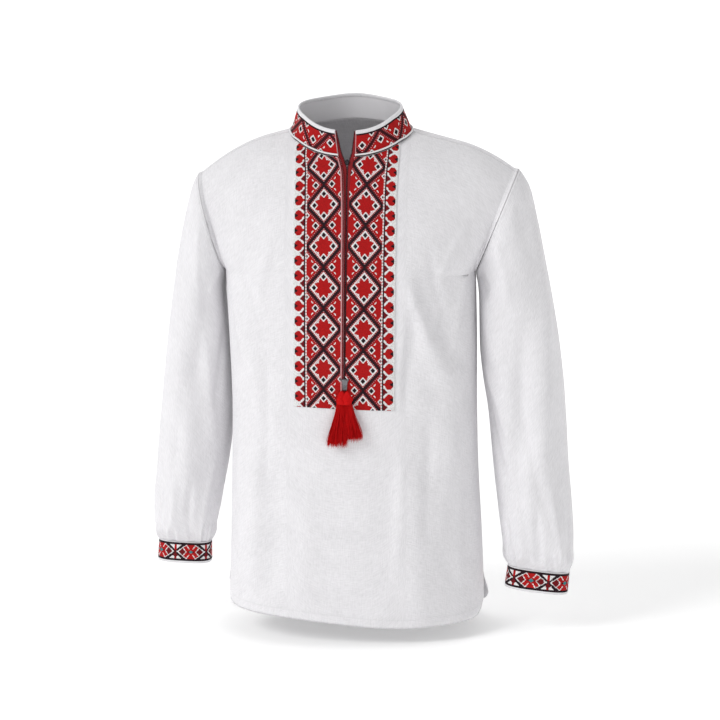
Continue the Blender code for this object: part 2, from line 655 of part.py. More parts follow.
def sleeve_table(side):
    """The sections of one sleeve, the first one being the armhole."""
    below = RIGHT_SLEEVE if side > 0.0 else LEFT_SLEEVE
    tip = RIGHT_TIP_X if side > 0.0 else LEFT_TIP_X
    armpit = BODY[0][BODY_COLUMNS.index("right" if side > 0.0 else "left")]
    height = float(shoulder_height(side * tip))
    return ((side * tip, height, side * armpit, ARMPIT_Z, ARMHOLE_HALF_DEPTH, 0.0), *below)


def armhole_clearance(table):
    """A step square to the armhole's plane, away from the body."""
    outer_x, outer_z, inner_x, inner_z = table[0][:4]
    square = unit(np.array([outer_z - inner_z, 0.0, inner_x - outer_x]))
    return ARMHOLE_GAP * square * np.sign(outer_x)


def sleeve(name, table, folds):
    """A tube of rings from the armhole down; the last rings have twice the points for gathers."""
    coarse = np.arange(0.0, GATHER_STAGES[0])
    rings = [(stage, SLEEVE_ROUND) for stage in coarse]
    rings += [(stage, 2 * SLEEVE_ROUND) for stage in GATHER_STAGES]
    outer = []
    inner = []
    starts = []
    total = 0
    clear = armhole_clearance(table)
    for stage, count in rings:
        points, out = sleeve_face(table, folds, stage, np.arange(count) / count)
        points = points + clear
        outer.append(points)
        inner.append(points - CLOTH * out)
        starts.append(total)
        total += count
    faces = []
    for i in range(len(rings) - 1):
        count = rings[i][1]
        faces += ring_strip(starts[i], count, starts[i + 1], rings[i + 1][1] > count)
    back = [(c + total, b + total, a + total) for a, b, c in faces]
    points = np.concatenate(outer + inner)
    closed_mesh(name, points, faces + back + rim(faces, total), LINEN)


def cuff(name, table):
    """A plain closed band below the sleeve's last ring, square to it, a little wider at its foot."""
    turn = np.arange(CUFF_ROUND) / CUFF_ROUND
    seam = sleeve_point(table, float(len(table) - 1), turn) + armhole_clearance(table)
    across = unit(seam[0] - seam[CUFF_ROUND // 2]) * np.sign(table[0][0])
    down = np.array([across[2], 0.0, -across[0]])
    flat = unit(np.cross(np.roll(seam, -1, axis=0) - np.roll(seam, 1, axis=0), down))
    flat = flat * np.sign(np.sum(flat * (seam - seam.mean(axis=0)), axis=-1, keepdims=True))
    outer = []
    for share in (0.0, 0.5, 1.0):
        run = SEAM_GAP + share * CUFF_HEIGHT
        outer.append(seam + flat * (CUFF_PROUD + share * CUFF_FLARE) + down * run)
    outer = np.stack(outer)
    cloth_wall(name, outer, outer - CUFF_CLOTH * flat[None], STITCHED_RED, ring=True)


def neck_ring(turn):
    """Points on the neckline and the outward directions; turn is 0 at the front middle."""
    across = NECK_HALF_WIDTH / HALF_CHEST * np.sin(turn)
    reach = np.where(np.cos(turn) > 0.0, NECK_REACH_FRONT, NECK_REACH_BACK)
    over = -(NECK_MIDDLE + reach * np.cos(turn))
    return body(across, over, 0.0 * turn)


def collar_face(turn, height):
    """The collar's outer face: the neckline raised by height, leaning in towards the neck.

    In front, where the chest panel lies on the shirt, the foot stands clear of the panel too.
    """
    base, out = neck_ring(turn)
    inward = base - np.array(NECK_MIDDLE_POINT)
    inward[..., 2] = 0.0
    lift_from, lift_to = COLLAR_LIFT_TURN
    front = COLLAR_FRONT_LIFT * smooth_step((np.cos(turn) - lift_from) / (lift_to - lift_from))
    rise = np.array([0.0, 0.0, 1.0]) * (height + front + SEAM_GAP)[..., None]
    more = np.where(np.sin(turn) > 0.0, COLLAR_LEAN_MORE_RIGHT, COLLAR_LEAN_MORE_LEFT)
    lean = COLLAR_LEAN + more * smooth_step(np.abs(np.sin(turn)))
    lean = -inward * (lean * height / COLLAR_HEIGHT)[..., None]
    return base + out * (front * COLLAR_LIFT_OUT)[..., None] + rise + lean


def collar_out(turn, height):
    """Direction square to the collar's outer face."""
    small = 1e-3
    ahead = collar_face(turn + small, height) - collar_face(turn - small, height)
    up = collar_face(turn, height + small) - collar_face(turn, height)
    return unit(np.cross(ahead, up))


def collar_end(side, share):
    """How far from the middle a front end of the collar is, at a share of its height."""
    if side > 0.0:
        return V_RIGHT_BASE + (V_RIGHT_TOP - V_RIGHT_BASE) * share
    return V_LEFT_BASE + (V_LEFT_TOP - V_LEFT_BASE) * share


def collar_turns(height):
    """Turns of the collar's lines. Those near the front ends shift, as the opening widens
    upwards, and the others are the lines of the front and the back at the neckline."""
    share = height / COLLAR_HEIGHT
    width = NECK_HALF_WIDTH * (1.0 - COLLAR_LEAN * share)
    back = math.pi - np.arcsin(np.array(BACK_LINES[: len(NECK_LINES) + 4]) / NECK_LINE)[::-1]
    halves = []
    for side in (1.0, -1.0):
        chest = side * np.array(CHEST_LINES[1:])
        chest = chest + slit_shift(chest, body_plain(chest, neck_over(chest)[0], 0.0)[..., 2])
        front = np.arcsin(np.concatenate([side * chest, NECK_LINES]) / NECK_LINE)
        lines = np.unique(np.round(np.concatenate([front, back]), 9))
        fixed = lines[2]
        at_base = math.asin(collar_end(side, 0.0) / NECK_HALF_WIDTH)
        end = math.asin(collar_end(side, share) / width)
        near = end + (lines[:2] - at_base) * (fixed - end) / (fixed - at_base)
        halves.append(np.concatenate([[end], near, lines[2:]]))
    right, left = halves
    return np.concatenate([right, (2 * math.pi - left[:-1])[::-1]])


def collar_band(name, heights, look):
    rows_out = []
    rows_in = []
    for height in heights:
        turn = collar_turns(height)
        level = np.full(len(turn), height)
        points = collar_face(turn, level)
        rows_out.append(points)
        rows_in.append(points - COLLAR_CLOTH * collar_out(turn, level))
    cloth_wall(name, np.stack(rows_out), np.stack(rows_in), look)


def collar():
    plain = COLLAR_HEIGHT - BINDING_HEIGHT
    collar_band("collar", (0.0, plain / 2, plain), STITCHED_RED)
    collar_band("collar_binding", (plain + SEAM_GAP, COLLAR_HEIGHT), LINEN)


def piping():
    """A thin cord along the collar's foot, on its outer side."""
    turn = collar_turns(0.0)
    level = np.full(len(turn), PIPING_RISE)
    out = collar_out(turn, level)
    path = collar_face(turn, level) + (PIPING_RADIUS + SEAM_GAP) * out
    up = np.array([0.0, 0.0, 1.0])
    angle = 2 * math.pi * np.arange(PIPING_ROUND) / PIPING_ROUND
    rings = [path[:, None], PIPING_RADIUS * out[:, None] * np.cos(angle)[None, :, None]]
    rings.append(PIPING_RADIUS * up * np.sin(angle)[None, :, None])
    solid_tube("collar_piping", sum(rings), LINEN)


def solid_tube(name, rings, look):
    """A solid with rings of points along it and a flat cap at each end."""
    count, around = rings.shape[:2]
    faces = []
    for i in range(count - 1):
        faces += ring_strip(i * around, around, (i + 1) * around, False)
    first = count * around
    last = (count - 1) * around
    for i in range(around):
        after = (i + 1) % around
        faces.append((after, i, first))
        faces.append((last + i, last + after, first + 1))
    points = np.concatenate([rings.reshape(-1, 3), [rings[0].mean(axis=0), rings[-1].mean(axis=0)]])
    closed_mesh(name, points, faces, look)


def rounded_plate(name, middle, half, look, top_width=1.0):
    """A small plate with round corners, thicker in the middle: rings of one outline, from its
    back to its raised front. Half gives its half width, half height and depth."""
    angle = 2 * math.pi * np.arange(PLATE_ROUND) / PLATE_ROUND
    x = np.sign(np.cos(angle)) * np.abs(np.cos(angle)) ** PLATE_CORNER
    z = np.sign(np.sin(angle)) * np.abs(np.sin(angle)) ** PLATE_CORNER
    wide = np.where(z > 0.0, 1.0 + (top_width - 1.0) * z, 1.0)
    rings = []
    for depth, size in PLATE_PROFILE:
        level = np.full(PLATE_ROUND, -depth * half[2])
        ring = np.stack([x * wide * half[0] * size, level, z * half[1] * size], axis=-1)
        rings.append(ring + np.asarray(middle))
    solid_tube(name, np.stack(rings), look)


def front_y(z):
    """Depth of the front's outer face at the middle, at a height below the neckline."""
    over = np.linspace(-0.5, -1.0, 60)
    down = np.linspace(0.0, 1.0, 60)
    upper, _ = body(np.zeros(60), over, np.zeros(60))
    lower, _ = body(np.zeros(60), np.full(60, -1.0), down)
    line = np.concatenate([upper, lower[1:]])[::-1]
    return float(np.interp(z, line[:, 2], line[:, 1]))


def zip_metal():
    slider_y = front_y(SLIDER_Z) + CLOTH + SEAM_GAP
    slider_x = float(slit_value("left", SLIDER_Z) + slit_value("right", SLIDER_Z)) / 2
    middle = (slider_x, slider_y - SLIDER_CLEAR, SLIDER_Z)
    rounded_plate("zip_slider", middle, SLIDER_HALF, METAL)
    cap_y = front_y(CAP_Z) - PANEL_CLOTH - 3 * SEAM_GAP
    rounded_plate("end_cap", (0.0, cap_y, CAP_Z), CAP_HALF, METAL, top_width=CAP_TOP_WIDTH)


def tassel(name, place):
    """One head and its strands. The head's underside is a grid of cells, and each cell goes on
    down as one strand, so the strands are fused at their roots and stand apart below."""
    u = np.linspace(-1.0, 1.0, STRANDS_ACROSS + 1)
    v = np.linspace(-1.0, 1.0, STRANDS_DEEP + 1)
    grid = [(a, b) for b in v for a in u]
    rounded = np.array([(a * math.sqrt(1 - b * b / 2), b * math.sqrt(1 - a * a / 2)) for a, b in grid])
    wide = STRANDS_ACROSS + 1
    deep = STRANDS_DEEP + 1
    border = list(range(wide)) + [wide * k + wide - 1 for k in range(1, deep)]
    border += [wide * (deep - 1) + i for i in range(wide - 2, -1, -1)]
    border += [wide * k for k in range(deep - 2, 0, -1)]
    deepest = min(front_y(TASSEL_HEAD_TOP), front_y(TASSEL_HEAD_FOOT))
    middle_y = deepest - PANEL_CLOTH - 3 * SEAM_GAP - TASSEL_HALF_DEPTH
    head_x = place["head_x"]
    size = np.array([TASSEL_HALF_WIDTH, TASSEL_HALF_DEPTH])
    points = []
    for x, y in rounded * TASSEL_HEAD_PROFILE[0][1]:
        points.append((head_x + x * size[0], middle_y + y * size[1], TASSEL_HEAD_FOOT))
    faces = []
    ring = border
    for share, scale in TASSEL_HEAD_PROFILE[1:]:
        start = len(points)
        z = TASSEL_HEAD_FOOT + share * (TASSEL_HEAD_TOP - TASSEL_HEAD_FOOT)
        for index in border:
            x, y = rounded[index] * scale * size
            points.append((head_x + x, middle_y + y, z))
        above = [start + k for k in range(len(border))]
        for k in range(len(border)):
            after = (k + 1) % len(border)
            faces.append((ring[k], ring[after], above[after]))
            faces.append((ring[k], above[after], above[k]))
        ring = above
    top = len(points)
    points.append((head_x, middle_y, TASSEL_HEAD_TOP))
    faces += [(ring[k], ring[(k + 1) % len(ring)], top) for k in range(len(ring))]
    for row in range(STRANDS_DEEP):
        for column in range(STRANDS_ACROSS):
            root = [row * wide + column, row * wide + column + 1]
            root += [(row + 1) * wide + column + 1, (row + 1) * wide + column]
            uneven = STRAND_UNEVEN * math.sin(2.1 * column + 1.7 * row)
            strand(points, faces, root, rounded[root], place, middle_y, uneven)
    closed_mesh(name, points, faces, TASSEL_RED)


def strand(points, faces, root, corners, place, middle_y, uneven):
    """One strand from its four root points down: it swings out, thins and ends in a flat tip."""
    middle = corners.mean(axis=0)
    foot_x = (place["foot_left"] + place["foot_right"]) / 2
    foot_half = (place["foot_right"] - place["foot_left"]) / 2
    foot_z = place["foot_z"] + uneven
    ring = root
    for share in STRAND_RINGS:
        opened = smooth_step(share) * (1.0 - STRAND_STRAIGHT) + share * STRAND_STRAIGHT
        half_x = TASSEL_HALF_WIDTH + (foot_half - TASSEL_HALF_WIDTH) * opened
        half_y = TASSEL_HALF_DEPTH + (TASSEL_FOOT_HALF_DEPTH - TASSEL_HALF_DEPTH) * opened
        centre_x = place["head_x"] + (foot_x - place["head_x"]) * opened
        centre_y = middle_y - (half_y - TASSEL_HALF_DEPTH)
        z = TASSEL_HEAD_FOOT + (foot_z - TASSEL_HEAD_FOOT) * share
        start = len(points)
        for corner in corners:
            x, y = middle + (corner - middle) * STRAND_SHARE
            points.append((centre_x + x * half_x, centre_y + y * half_y, z))
        below = [start + k for k in range(4)]
        for k in range(4):
            after = (k + 1) % 4
            faces.append((ring[after], ring[k], below[k]))
            faces.append((ring[after], below[k], below[after]))
        ring = below
    faces.append((ring[2], ring[1], ring[0]))
    faces.append((ring[3], ring[2], ring[0]))


def main():
    clear_scene()
    front_and_panel()
    back_panel()
    for name, side, folds in (("left", -1.0, LEFT_SLEEVE_FOLDS), ("right", 1.0, RIGHT_SLEEVE_FOLDS)):
        table = sleeve_table(side)
        sleeve("sleeve_" + name, table, folds)
        cuff("cuff_" + name, table)
    collar()
    piping()
    zip_metal()
    for name, sizes in TASSELS.items():
        tassel(name, dict(zip(TASSEL_COLUMNS, sizes)))


main()
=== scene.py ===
"""A folk shirt of white linen with its finished look: woven cloth with soft folds, stitching,
embroidery, zip, cap and tassels, on a pale floor in soft studio light.

Lengths are in metres. +Z is up and the wearer's front faces -Y. The body, the sleeves and the
collar are the same surfaces as those of the solids, cut finer and with more folds.
"""

import math

import bpy
import numpy as np
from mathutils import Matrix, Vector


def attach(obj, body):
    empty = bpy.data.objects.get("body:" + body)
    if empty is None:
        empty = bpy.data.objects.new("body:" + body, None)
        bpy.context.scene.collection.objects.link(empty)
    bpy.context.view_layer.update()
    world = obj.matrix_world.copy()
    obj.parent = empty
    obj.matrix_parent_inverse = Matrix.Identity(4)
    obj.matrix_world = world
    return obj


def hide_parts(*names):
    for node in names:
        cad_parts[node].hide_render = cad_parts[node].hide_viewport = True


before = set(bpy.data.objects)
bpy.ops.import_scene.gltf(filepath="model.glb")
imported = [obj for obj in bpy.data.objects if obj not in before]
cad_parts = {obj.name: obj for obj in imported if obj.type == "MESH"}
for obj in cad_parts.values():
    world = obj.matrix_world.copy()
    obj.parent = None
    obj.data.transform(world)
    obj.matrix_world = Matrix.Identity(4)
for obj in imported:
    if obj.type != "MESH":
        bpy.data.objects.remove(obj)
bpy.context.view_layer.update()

# Cloth
CLOTH = 0.0015
SEAM_GAP = 0.0003
PANEL_CLOTH = 0.0013
COLLAR_CLOTH = 0.0022
TAPE_CLOTH = 0.0010

# Body: heights of the level under the arms and of the hem, half widths and depths
ARMPIT_Z = -0.215
HEM_Z = -0.7275
HEM_TILT = 0.0065
HEM_TILT_ACROSS = 0.6
HEM_CURVE = 0.004
VENT_RISE = 0.022
VENT_ROUNDING = 50
VENT_FROM = 0.93
VENT_FLARE_RIGHT = 0.0065
VENT_FLARE_LEFT = 0.0030
HALF_CHEST = 0.187
RIGHT_TIP_X = 0.245
LEFT_TIP_X = 0.228
BODY_SQUARENESS = 2.4
BACK_ROOF = 0.60
ARMHOLE_HALF_DEPTH = 0.062
SIDE_SHIFT_FROM = 0.40
ROUND_SIDES_FROM = 0.45
FOLD_LEVEL_OVER = 0.33
SEAM_CALM_ACROSS = 0.12
ARMPIT_EASE = 0.08
ARMPIT_EASE_ACROSS = 0.01
SEAM_CALM_OVER = (0.15, 0.50)

# Shoulder line: height at the neck point, slope, and the rounding towards the tip
NECK_POINT_X = 0.088
NECK_POINT_Z = -0.006
SHOULDER_SLOPE = 0.25
RIGHT_ROUND_FROM = 0.16
RIGHT_ROUND = 2.8
LEFT_ROUND_FROM = 0.12
LEFT_ROUND = 2.7
NECK_SMOOTHING = 0.03
NAPE_RISE = 0.0175
NAPE_WIDTH = 0.075
NAPE_OVER = (-0.10, 0.30)

# The solids' lines over the shoulder are this many degrees apart from the ridge (0) to the armpit
# (90), and the seam lies one step in front of the ridge
STEP_DEGREES = 7.5

# Neck: the curve runs round the shoulders' surface, forward seam to seam
NECK_HALF_WIDTH = 0.0875
NECK_MIDDLE = 0.13
NECK_REACH_FRONT = 0.366
NECK_REACH_BACK = 0.42

# Slit, chest panel and collar. The slit's edges are given by their x, and the tapes behind it
# end tape_edge from its middle line. The chest panel's outer edge follows by the shares given.
SLIT_LINE_X = 0.0030
SLIT_FOOT_Z = -0.362
SLIT_COLUMNS = ("height", "left", "right", "tape_edge")
SLIT = (
    (-0.362, -0.0026, 0.0008, 0.0003),
    (-0.250, -0.0018, 0.0027, 0.0003),
    (-0.175, -0.0016, 0.0044, 0.0003),
    (-0.120, -0.0022, 0.0052, 0.0003),
    (-0.085, -0.0040, 0.0054, 0.0003),
    (-0.060, -0.0066, 0.0074, 0.0003),
    (-0.043, -0.0122, 0.0098, 0.0050),
)
PANEL_FOLLOWS_LEFT = 0.25
PANEL_FOLLOWS_RIGHT = 0.35
PANEL_WIDER_LEFT = 0.0030
PANEL_HALF_WIDTH = 0.0720
PANEL_FOOT_Z = -0.405
COLLAR_HEIGHT = 0.0372
BINDING_HEIGHT = 0.0055
COLLAR_LEAN = 0.11
COLLAR_LEAN_MORE_LEFT = 0.015
COLLAR_LEAN_MORE_RIGHT = 0.065
COLLAR_FRONT_LIFT = 0.0012
COLLAR_LIFT_TURN = (0.35, 0.55)
COLLAR_LIFT_OUT = 0.6
V_LEFT_BASE = 0.0130
V_LEFT_TOP = 0.0190
V_RIGHT_BASE = 0.0110
V_RIGHT_TOP = 0.0112
PIPING_RADIUS = 0.0013
PIPING_RISE = 0.0022

# Zip: tapes behind the slit and the collar's ends, the slider and the metal end cap
TAPE_WIDTH = 0.008
TAPE_GAP = 0.0008
TAPE_HEIGHTS = (0.0366, 0.0245, 0.0140, 0.0055)
TAPE_SHOWS = 0.0055
TAPE_SHOWS_AT_RIM = 0.0015
SLIDER_Z = -0.0515
SLIDER_CLEAR = 0.0006
SLIDER_HALF = (0.0026, 0.0042, 0.0030)
CAP_Z = -0.3690
CAP_HALF = (0.0036, 0.0088, 0.0026)
CAP_TOP_WIDTH = 1.5

# Tassels: two heads side by side below the cap, each with its skirt of threads
TASSEL_COLUMNS = ("head_x", "foot_left", "foot_right", "foot_z")
TASSELS = {
    "tassel_left": (-0.0058, -0.0270, -0.0014, -0.4590),
    "tassel_right": (0.0056, 0.0004, 0.0238, -0.4485),
}
TASSEL_HEAD_TOP = -0.3785
TASSEL_HEAD_FOOT = -0.3975
TASSEL_HALF_WIDTH = 0.0052
TASSEL_HALF_DEPTH = 0.0044
TASSEL_FOOT_HALF_DEPTH = 0.0056
TASSEL_HEAD_PROFILE = ((0.0, 0.92), (0.18, 0.80), (0.36, 1.0), (0.72, 1.0), (1.0, 0.55))
STRAND_STRAIGHT = 0.45

# Half widths and depths of the body below the arms, by share of the way down to the hem
BODY_COLUMNS = ("down", "left", "right", "front", "back")
BODY = (
    (0.00, 0.1885, 0.1835, 0.1250, 0.1120),
    (0.20, 0.1840, 0.1860, 0.1240, 0.1095),
    (0.40, 0.1805, 0.1870, 0.1215, 0.1075),
    (0.60, 0.1820, 0.1900, 0.1210, 0.1080),
    (0.80, 0.1840, 0.1960, 0.1220, 0.1100),
    (1.00, 0.1875, 0.2005, 0.1245, 0.1130),
)

# Sleeve sections below the armhole (stage 0) down to the cuff seam (last stage): the outer and
# inner edges seen from the front, half the depth from front to back, and how far back its middle is
SLEEVE_COLUMNS = ("outer_x", "outer_z", "inner_x", "inner_z", "half_depth", "back")
RIGHT_SLEEVE = (
    (0.2615, -0.0940, 0.1868, -0.2330, 0.0680, 0.001),
    (0.2730, -0.1370, 0.1882, -0.2580, 0.0690, 0.002),
    (0.2845, -0.1920, 0.1890, -0.2920, 0.0680, 0.002),
    (0.2965, -0.2520, 0.1905, -0.3320, 0.0660, 0.001),
    (0.3070, -0.3120, 0.1955, -0.3740, 0.0640, -0.001),
    (0.3150, -0.3750, 0.2030, -0.4180, 0.0630, -0.004),
    (0.3200, -0.4350, 0.2080, -0.4640, 0.0610, -0.007),
    (0.3240, -0.4950, 0.2130, -0.5120, 0.0600, -0.010),
    (0.3295, -0.5530, 0.2190, -0.5600, 0.0590, -0.013),
    (0.3330, -0.6020, 0.2245, -0.6020, 0.0570, -0.016),
    (0.3325, -0.6400, 0.2300, -0.6320, 0.0420, -0.019),
    (0.3270, -0.6640, 0.2370, -0.6545, 0.0240, -0.020),
)
LEFT_SLEEVE = (
    (-0.2395, -0.0970, -0.1925, -0.2330, 0.0670, 0.004),
    (-0.2525, -0.1430, -0.1925, -0.2570, 0.0680, 0.010),
    (-0.2645, -0.1990, -0.1905, -0.2900, 0.0670, 0.016),
    (-0.2745, -0.2600, -0.1880, -0.3290, 0.0650, 0.022),
    (-0.2835, -0.3200, -0.1862, -0.3700, 0.0630, 0.027),
    (-0.2905, -0.3800, -0.1855, -0.4140, 0.0620, 0.030),
    (-0.2975, -0.4380, -0.1868, -0.4600, 0.0610, 0.032),
    (-0.3030, -0.4950, -0.1925, -0.5060, 0.0600, 0.034),
    (-0.3065, -0.5450, -0.2010, -0.5500, 0.0590, 0.036),
    (-0.3080, -0.5880, -0.2090, -0.5900, 0.0570, 0.038),
    (-0.3070, -0.6200, -0.2170, -0.6200, 0.0420, 0.039),
    (-0.3035, -0.6400, -0.2245, -0.6430, 0.0240, 0.040),
)
SLEEVE_ROUND = int(180 / STEP_DEGREES)
GATHERS = SLEEVE_ROUND // 2
GATHER_HEIGHT = 0.0026
GATHER_FROM_STAGE = 10.6
GATHER_RUN = 0.8
GATHER_PRESSED_FROM = 11.5
END_RUN = 0.8
FOOT_SQUARENESS = 2.8
SQUARE_FROM_STAGE = 9.0
CUFF_HEIGHT = 0.0335
CUFF_CLOTH = 0.0022
CUFF_FLARE = 0.0012
CUFF_PROUD = 0.0010
ARMHOLE_GAP = 0.0004

# Largest soft folds. On the body, across runs from -1 at one side seam to 1 at the other, and
# along from the armpit level (0) to the hem (1). A negative height is a trough.
FOLD_COLUMNS = ("across_from", "along_from", "across_to", "along_to", "width", "height")
FRONT_FOLDS = (
    (0.42, -0.05, 0.83, 0.36, 0.020, 0.0050),
    (0.52, -0.06, 0.93, 0.30, 0.018, -0.0040),
    (0.90, 0.08, 0.72, 0.62, 0.022, 0.0035),
    (-0.86, 0.05, -0.66, 0.42, 0.022, 0.0040),
    (-0.74, 0.44, -0.77, 0.98, 0.021, 0.0045),
    (-0.55, 0.40, -0.58, 0.97, 0.024, -0.0035),
    (0.50, 0.45, 0.56, 1.02, 0.026, 0.0038),
    (0.76, 0.52, 0.80, 1.02, 0.022, -0.0032),
)
BACK_FOLDS = (
    (-0.84, -0.04, -0.52, 0.34, 0.022, 0.0045),
    (0.86, -0.04, 0.58, 0.38, 0.024, 0.0048),
    (-0.30, 0.10, -0.34, 0.92, 0.030, 0.0036),
    (0.18, 0.16, 0.24, 1.02, 0.028, -0.0036),
    (-0.68, 0.38, -0.72, 1.00, 0.024, -0.0034),
    (0.62, 0.42, 0.66, 1.00, 0.024, 0.0040),
)
ACROSS_LENGTH = 0.25
DOWN_LENGTH = 0.52
FOLD_FADE_IN = 0.35
FOLD_FADE_OUT = 0.25

# On a sleeve, across runs from 0 on the outer side to 0.5 on the inner side by way of the
# front and on to 1 by way of the back, and along counts the sections
RIGHT_SLEEVE_FOLDS = (
    (0.40, 1.5, 0.30, 7.5, 0.017, 0.0040),
    (0.20, 3.2, 0.36, 9.8, 0.015, -0.0050),
    (0.10, 3.0, 0.22, 8.6, 0.018, 0.0045),
    (0.62, 2.5, 0.74, 8.5, 0.020, 0.0045),
    (0.86, 4.0, 0.80, 9.5, 0.018, -0.0040),
)
LEFT_SLEEVE_FOLDS = (
    (0.36, 1.5, 0.24, 6.5, 0.018, -0.0045),
    (0.16, 4.0, 0.28, 9.8, 0.017, 0.0045),
    (0.06, 6.0, 0.14, 10.4, 0.015, -0.0035),
    (0.66, 2.0, 0.78, 8.0, 0.020, 0.0045),
    (0.90, 4.5, 0.84, 10.0, 0.018, -0.0040),
)
AROUND_LENGTH = 0.36
STAGE_LENGTH = 0.05

# Every fold and crease rises this many times the height in its table
FOLD_DEEPER = 1.35


def smooth_step(share):
    """Eases from 0 to 1 with level ends."""
    share = np.clip(share, 0.0, 1.0)
    return share * share * (3.0 - 2.0 * share)


def through(knots, values, at):
    """Smooth cubic curve through a table's values, with slopes taken from the neighbours."""
    knots = np.asarray(knots, float)
    values = np.asarray(values, float)
    slopes = np.gradient(values, knots)
    at = np.clip(at, knots[0], knots[-1])
    index = np.clip(np.searchsorted(knots, at, side="right") - 1, 0, len(knots) - 2)
    step = knots[index + 1] - knots[index]
    t = (at - knots[index]) / step
    rise = values[index] * (2 * t**3 - 3 * t**2 + 1) + values[index + 1] * (3 * t**2 - 2 * t**3)
    bend = slopes[index] * (t**3 - 2 * t**2 + t) + slopes[index + 1] * (t**3 - t**2)
    return rise + bend * step


def fold_heights(folds, across, along, across_length, along_length):
    """Sum of soft ridges: each is a bell in section, fading out towards both of its ends."""
    total = np.zeros(np.broadcast(across, along).shape)
    for row in folds:
        fold = dict(zip(FOLD_COLUMNS, row))
        run_across = (fold["across_to"] - fold["across_from"]) * across_length
        run_along = (fold["along_to"] - fold["along_from"]) * along_length
        length = math.hypot(run_across, run_along)
        x = (across - fold["across_from"]) * across_length
        y = (along - fold["along_from"]) * along_length
        share = (x * run_across + y * run_along) / length**2
        beside = (x * run_along - y * run_across) / length
        fade = smooth_step(share / FOLD_FADE_IN) * smooth_step((1.0 - share) / FOLD_FADE_OUT)
        total = total + FOLD_DEEPER * fold["height"] * fade * np.exp(-(beside / fold["width"]) ** 2)
    return total


def shoulder_height(x):
    """Height of the shoulder ridge: a gentle slope from the neck, rounding off to the tip."""
    from_neck = np.sqrt(x * x + NECK_SMOOTHING**2) - math.hypot(NECK_POINT_X, NECK_SMOOTHING)
    right = RIGHT_ROUND * np.maximum(0.0, x - RIGHT_ROUND_FROM) ** 2
    left = LEFT_ROUND * np.maximum(0.0, -x - LEFT_ROUND_FROM) ** 2
    return NECK_POINT_Z - SHOULDER_SLOPE * from_neck - right - left


def spread(across):
    """Share of the side's shift that a line takes: none over the chest panel, all at the side."""
    return smooth_step((np.abs(across) - SIDE_SHIFT_FROM) / (1.0 - SIDE_SHIFT_FROM))


def hem_height(across):
    """Lower on the right, with corners that round up into the vent at each side seam."""
    tilt = -HEM_TILT * np.sin(math.pi / 2 * np.clip(across / HEM_TILT_ACROSS, -1.0, 1.0))
    return HEM_Z + tilt + HEM_CURVE * across**2 + VENT_RISE * np.abs(across) ** VENT_ROUNDING


def body_plain(across, over, down):
    """Outer face of the body without folds.

    across: -1 at the left side to 1 at the right. over: -1 at the armpit level in front, 0 on
    the shoulder ridge, 1 at the armpit level behind. down: 0 at the armpit level, 1 at the hem.
    """
    across, over, down = np.broadcast_arrays(across, over, down)
    back = over > 0.0
    right = across > 0.0
    tip = np.where(right, RIGHT_TIP_X, LEFT_TIP_X)
    table = dict(zip(BODY_COLUMNS, zip(*BODY)))
    below = {name: through(table["down"], table[name], down) for name in BODY_COLUMNS[1:]}
    fall = over * over
    side_below = np.where(right, below["right"], below["left"])
    unfallen = 1.0 - fall
    ease = ARMPIT_EASE * smooth_step((1.0 - np.abs(across)) / ARMPIT_EASE_ACROSS)
    eased = np.where(ease > 0.0, unfallen / np.maximum(unfallen + ease, 1e-9), 1.0)
    side_top = side_below + (tip - side_below) * unfallen * eased
    opened = smooth_step((down - VENT_FROM) / (1.0 - VENT_FROM))
    flare = np.where(right, VENT_FLARE_RIGHT, VENT_FLARE_LEFT) * opened
    side_top = side_top + np.where(back, flare, 0.0)
    x = across * HALF_CHEST + np.sign(across) * (side_top - HALF_CHEST) * spread(across)
    ridge_x = across * HALF_CHEST + np.sign(across) * (tip - HALF_CHEST) * spread(across)
    nape_share = smooth_step((over - NAPE_OVER[0]) / (NAPE_OVER[1] - NAPE_OVER[0])) * (1.0 - fall)
    nape = NAPE_RISE * np.exp(-(x / NAPE_WIDTH) ** 2) * nape_share
    ridge = shoulder_height(ridge_x)
    z = ridge + (ARMPIT_Z - ridge) * fall + nape + (hem_height(across) - ARMPIT_Z) * down
    front_roof = np.abs(over) * np.sqrt(2.0 - fall)
    back_share = np.minimum(fall / BACK_ROOF, 1.0)
    back_roof = np.sqrt(1.0 - (1.0 - back_share) ** 2)
    centre = np.where(back, below["back"] * back_roof, below["front"] * front_roof)
    armhole = 2.0 * ARMHOLE_HALF_DEPTH * np.abs(over) * np.sqrt(np.maximum(0.0, 1.0 - fall)) * eased
    open_round = 1.0 - np.abs(across) ** 3
    closed_round = (1.0 - np.minimum(np.abs(across), 1.0) ** BODY_SQUARENESS) ** (1.0 / BODY_SQUARENESS)
    closing = smooth_step((fall - ROUND_SIDES_FROM) / (1.0 - ROUND_SIDES_FROM))
    roundness = open_round + (closed_round - open_round) * closing
    depth = armhole + (centre - armhole) * roundness
    y = np.where(back, depth, -depth)
    return np.stack([x, y, z], axis=-1)


def unit(vectors):
    return vectors / np.maximum(np.linalg.norm(vectors, axis=-1, keepdims=True), 1e-12)


def body_out(across, over, down):
    """Direction square to the body's outer face, pointing out."""
    small = 1e-4
    low = np.maximum(across - small, -1.0)
    high = np.minimum(across + small, 1.0)
    along = body_plain(high, over, down) - body_plain(low, over, down)
    upper = np.abs(over) < 1.0
    over_low = np.where(upper, np.clip(over - small, -1.0, 1.0), over)
    over_high = np.where(upper, np.clip(over + small, -1.0, 1.0), over)
    down_step = np.where(upper, 0.0, small)
    low_down = np.maximum(down - down_step, 0.0)
    high_down = down + down_step
    roll = body_plain(across, over_high, high_down) - body_plain(across, over_low, low_down)
    roll = np.where((~upper & (over < 0.0))[..., None], -roll, roll)
    return unit(np.cross(along, roll))


def level_of(over, down):
    """How far down the cloth is, counted as the fold tables count it."""
    return down - (1.0 - over * over) * FOLD_LEVEL_OVER


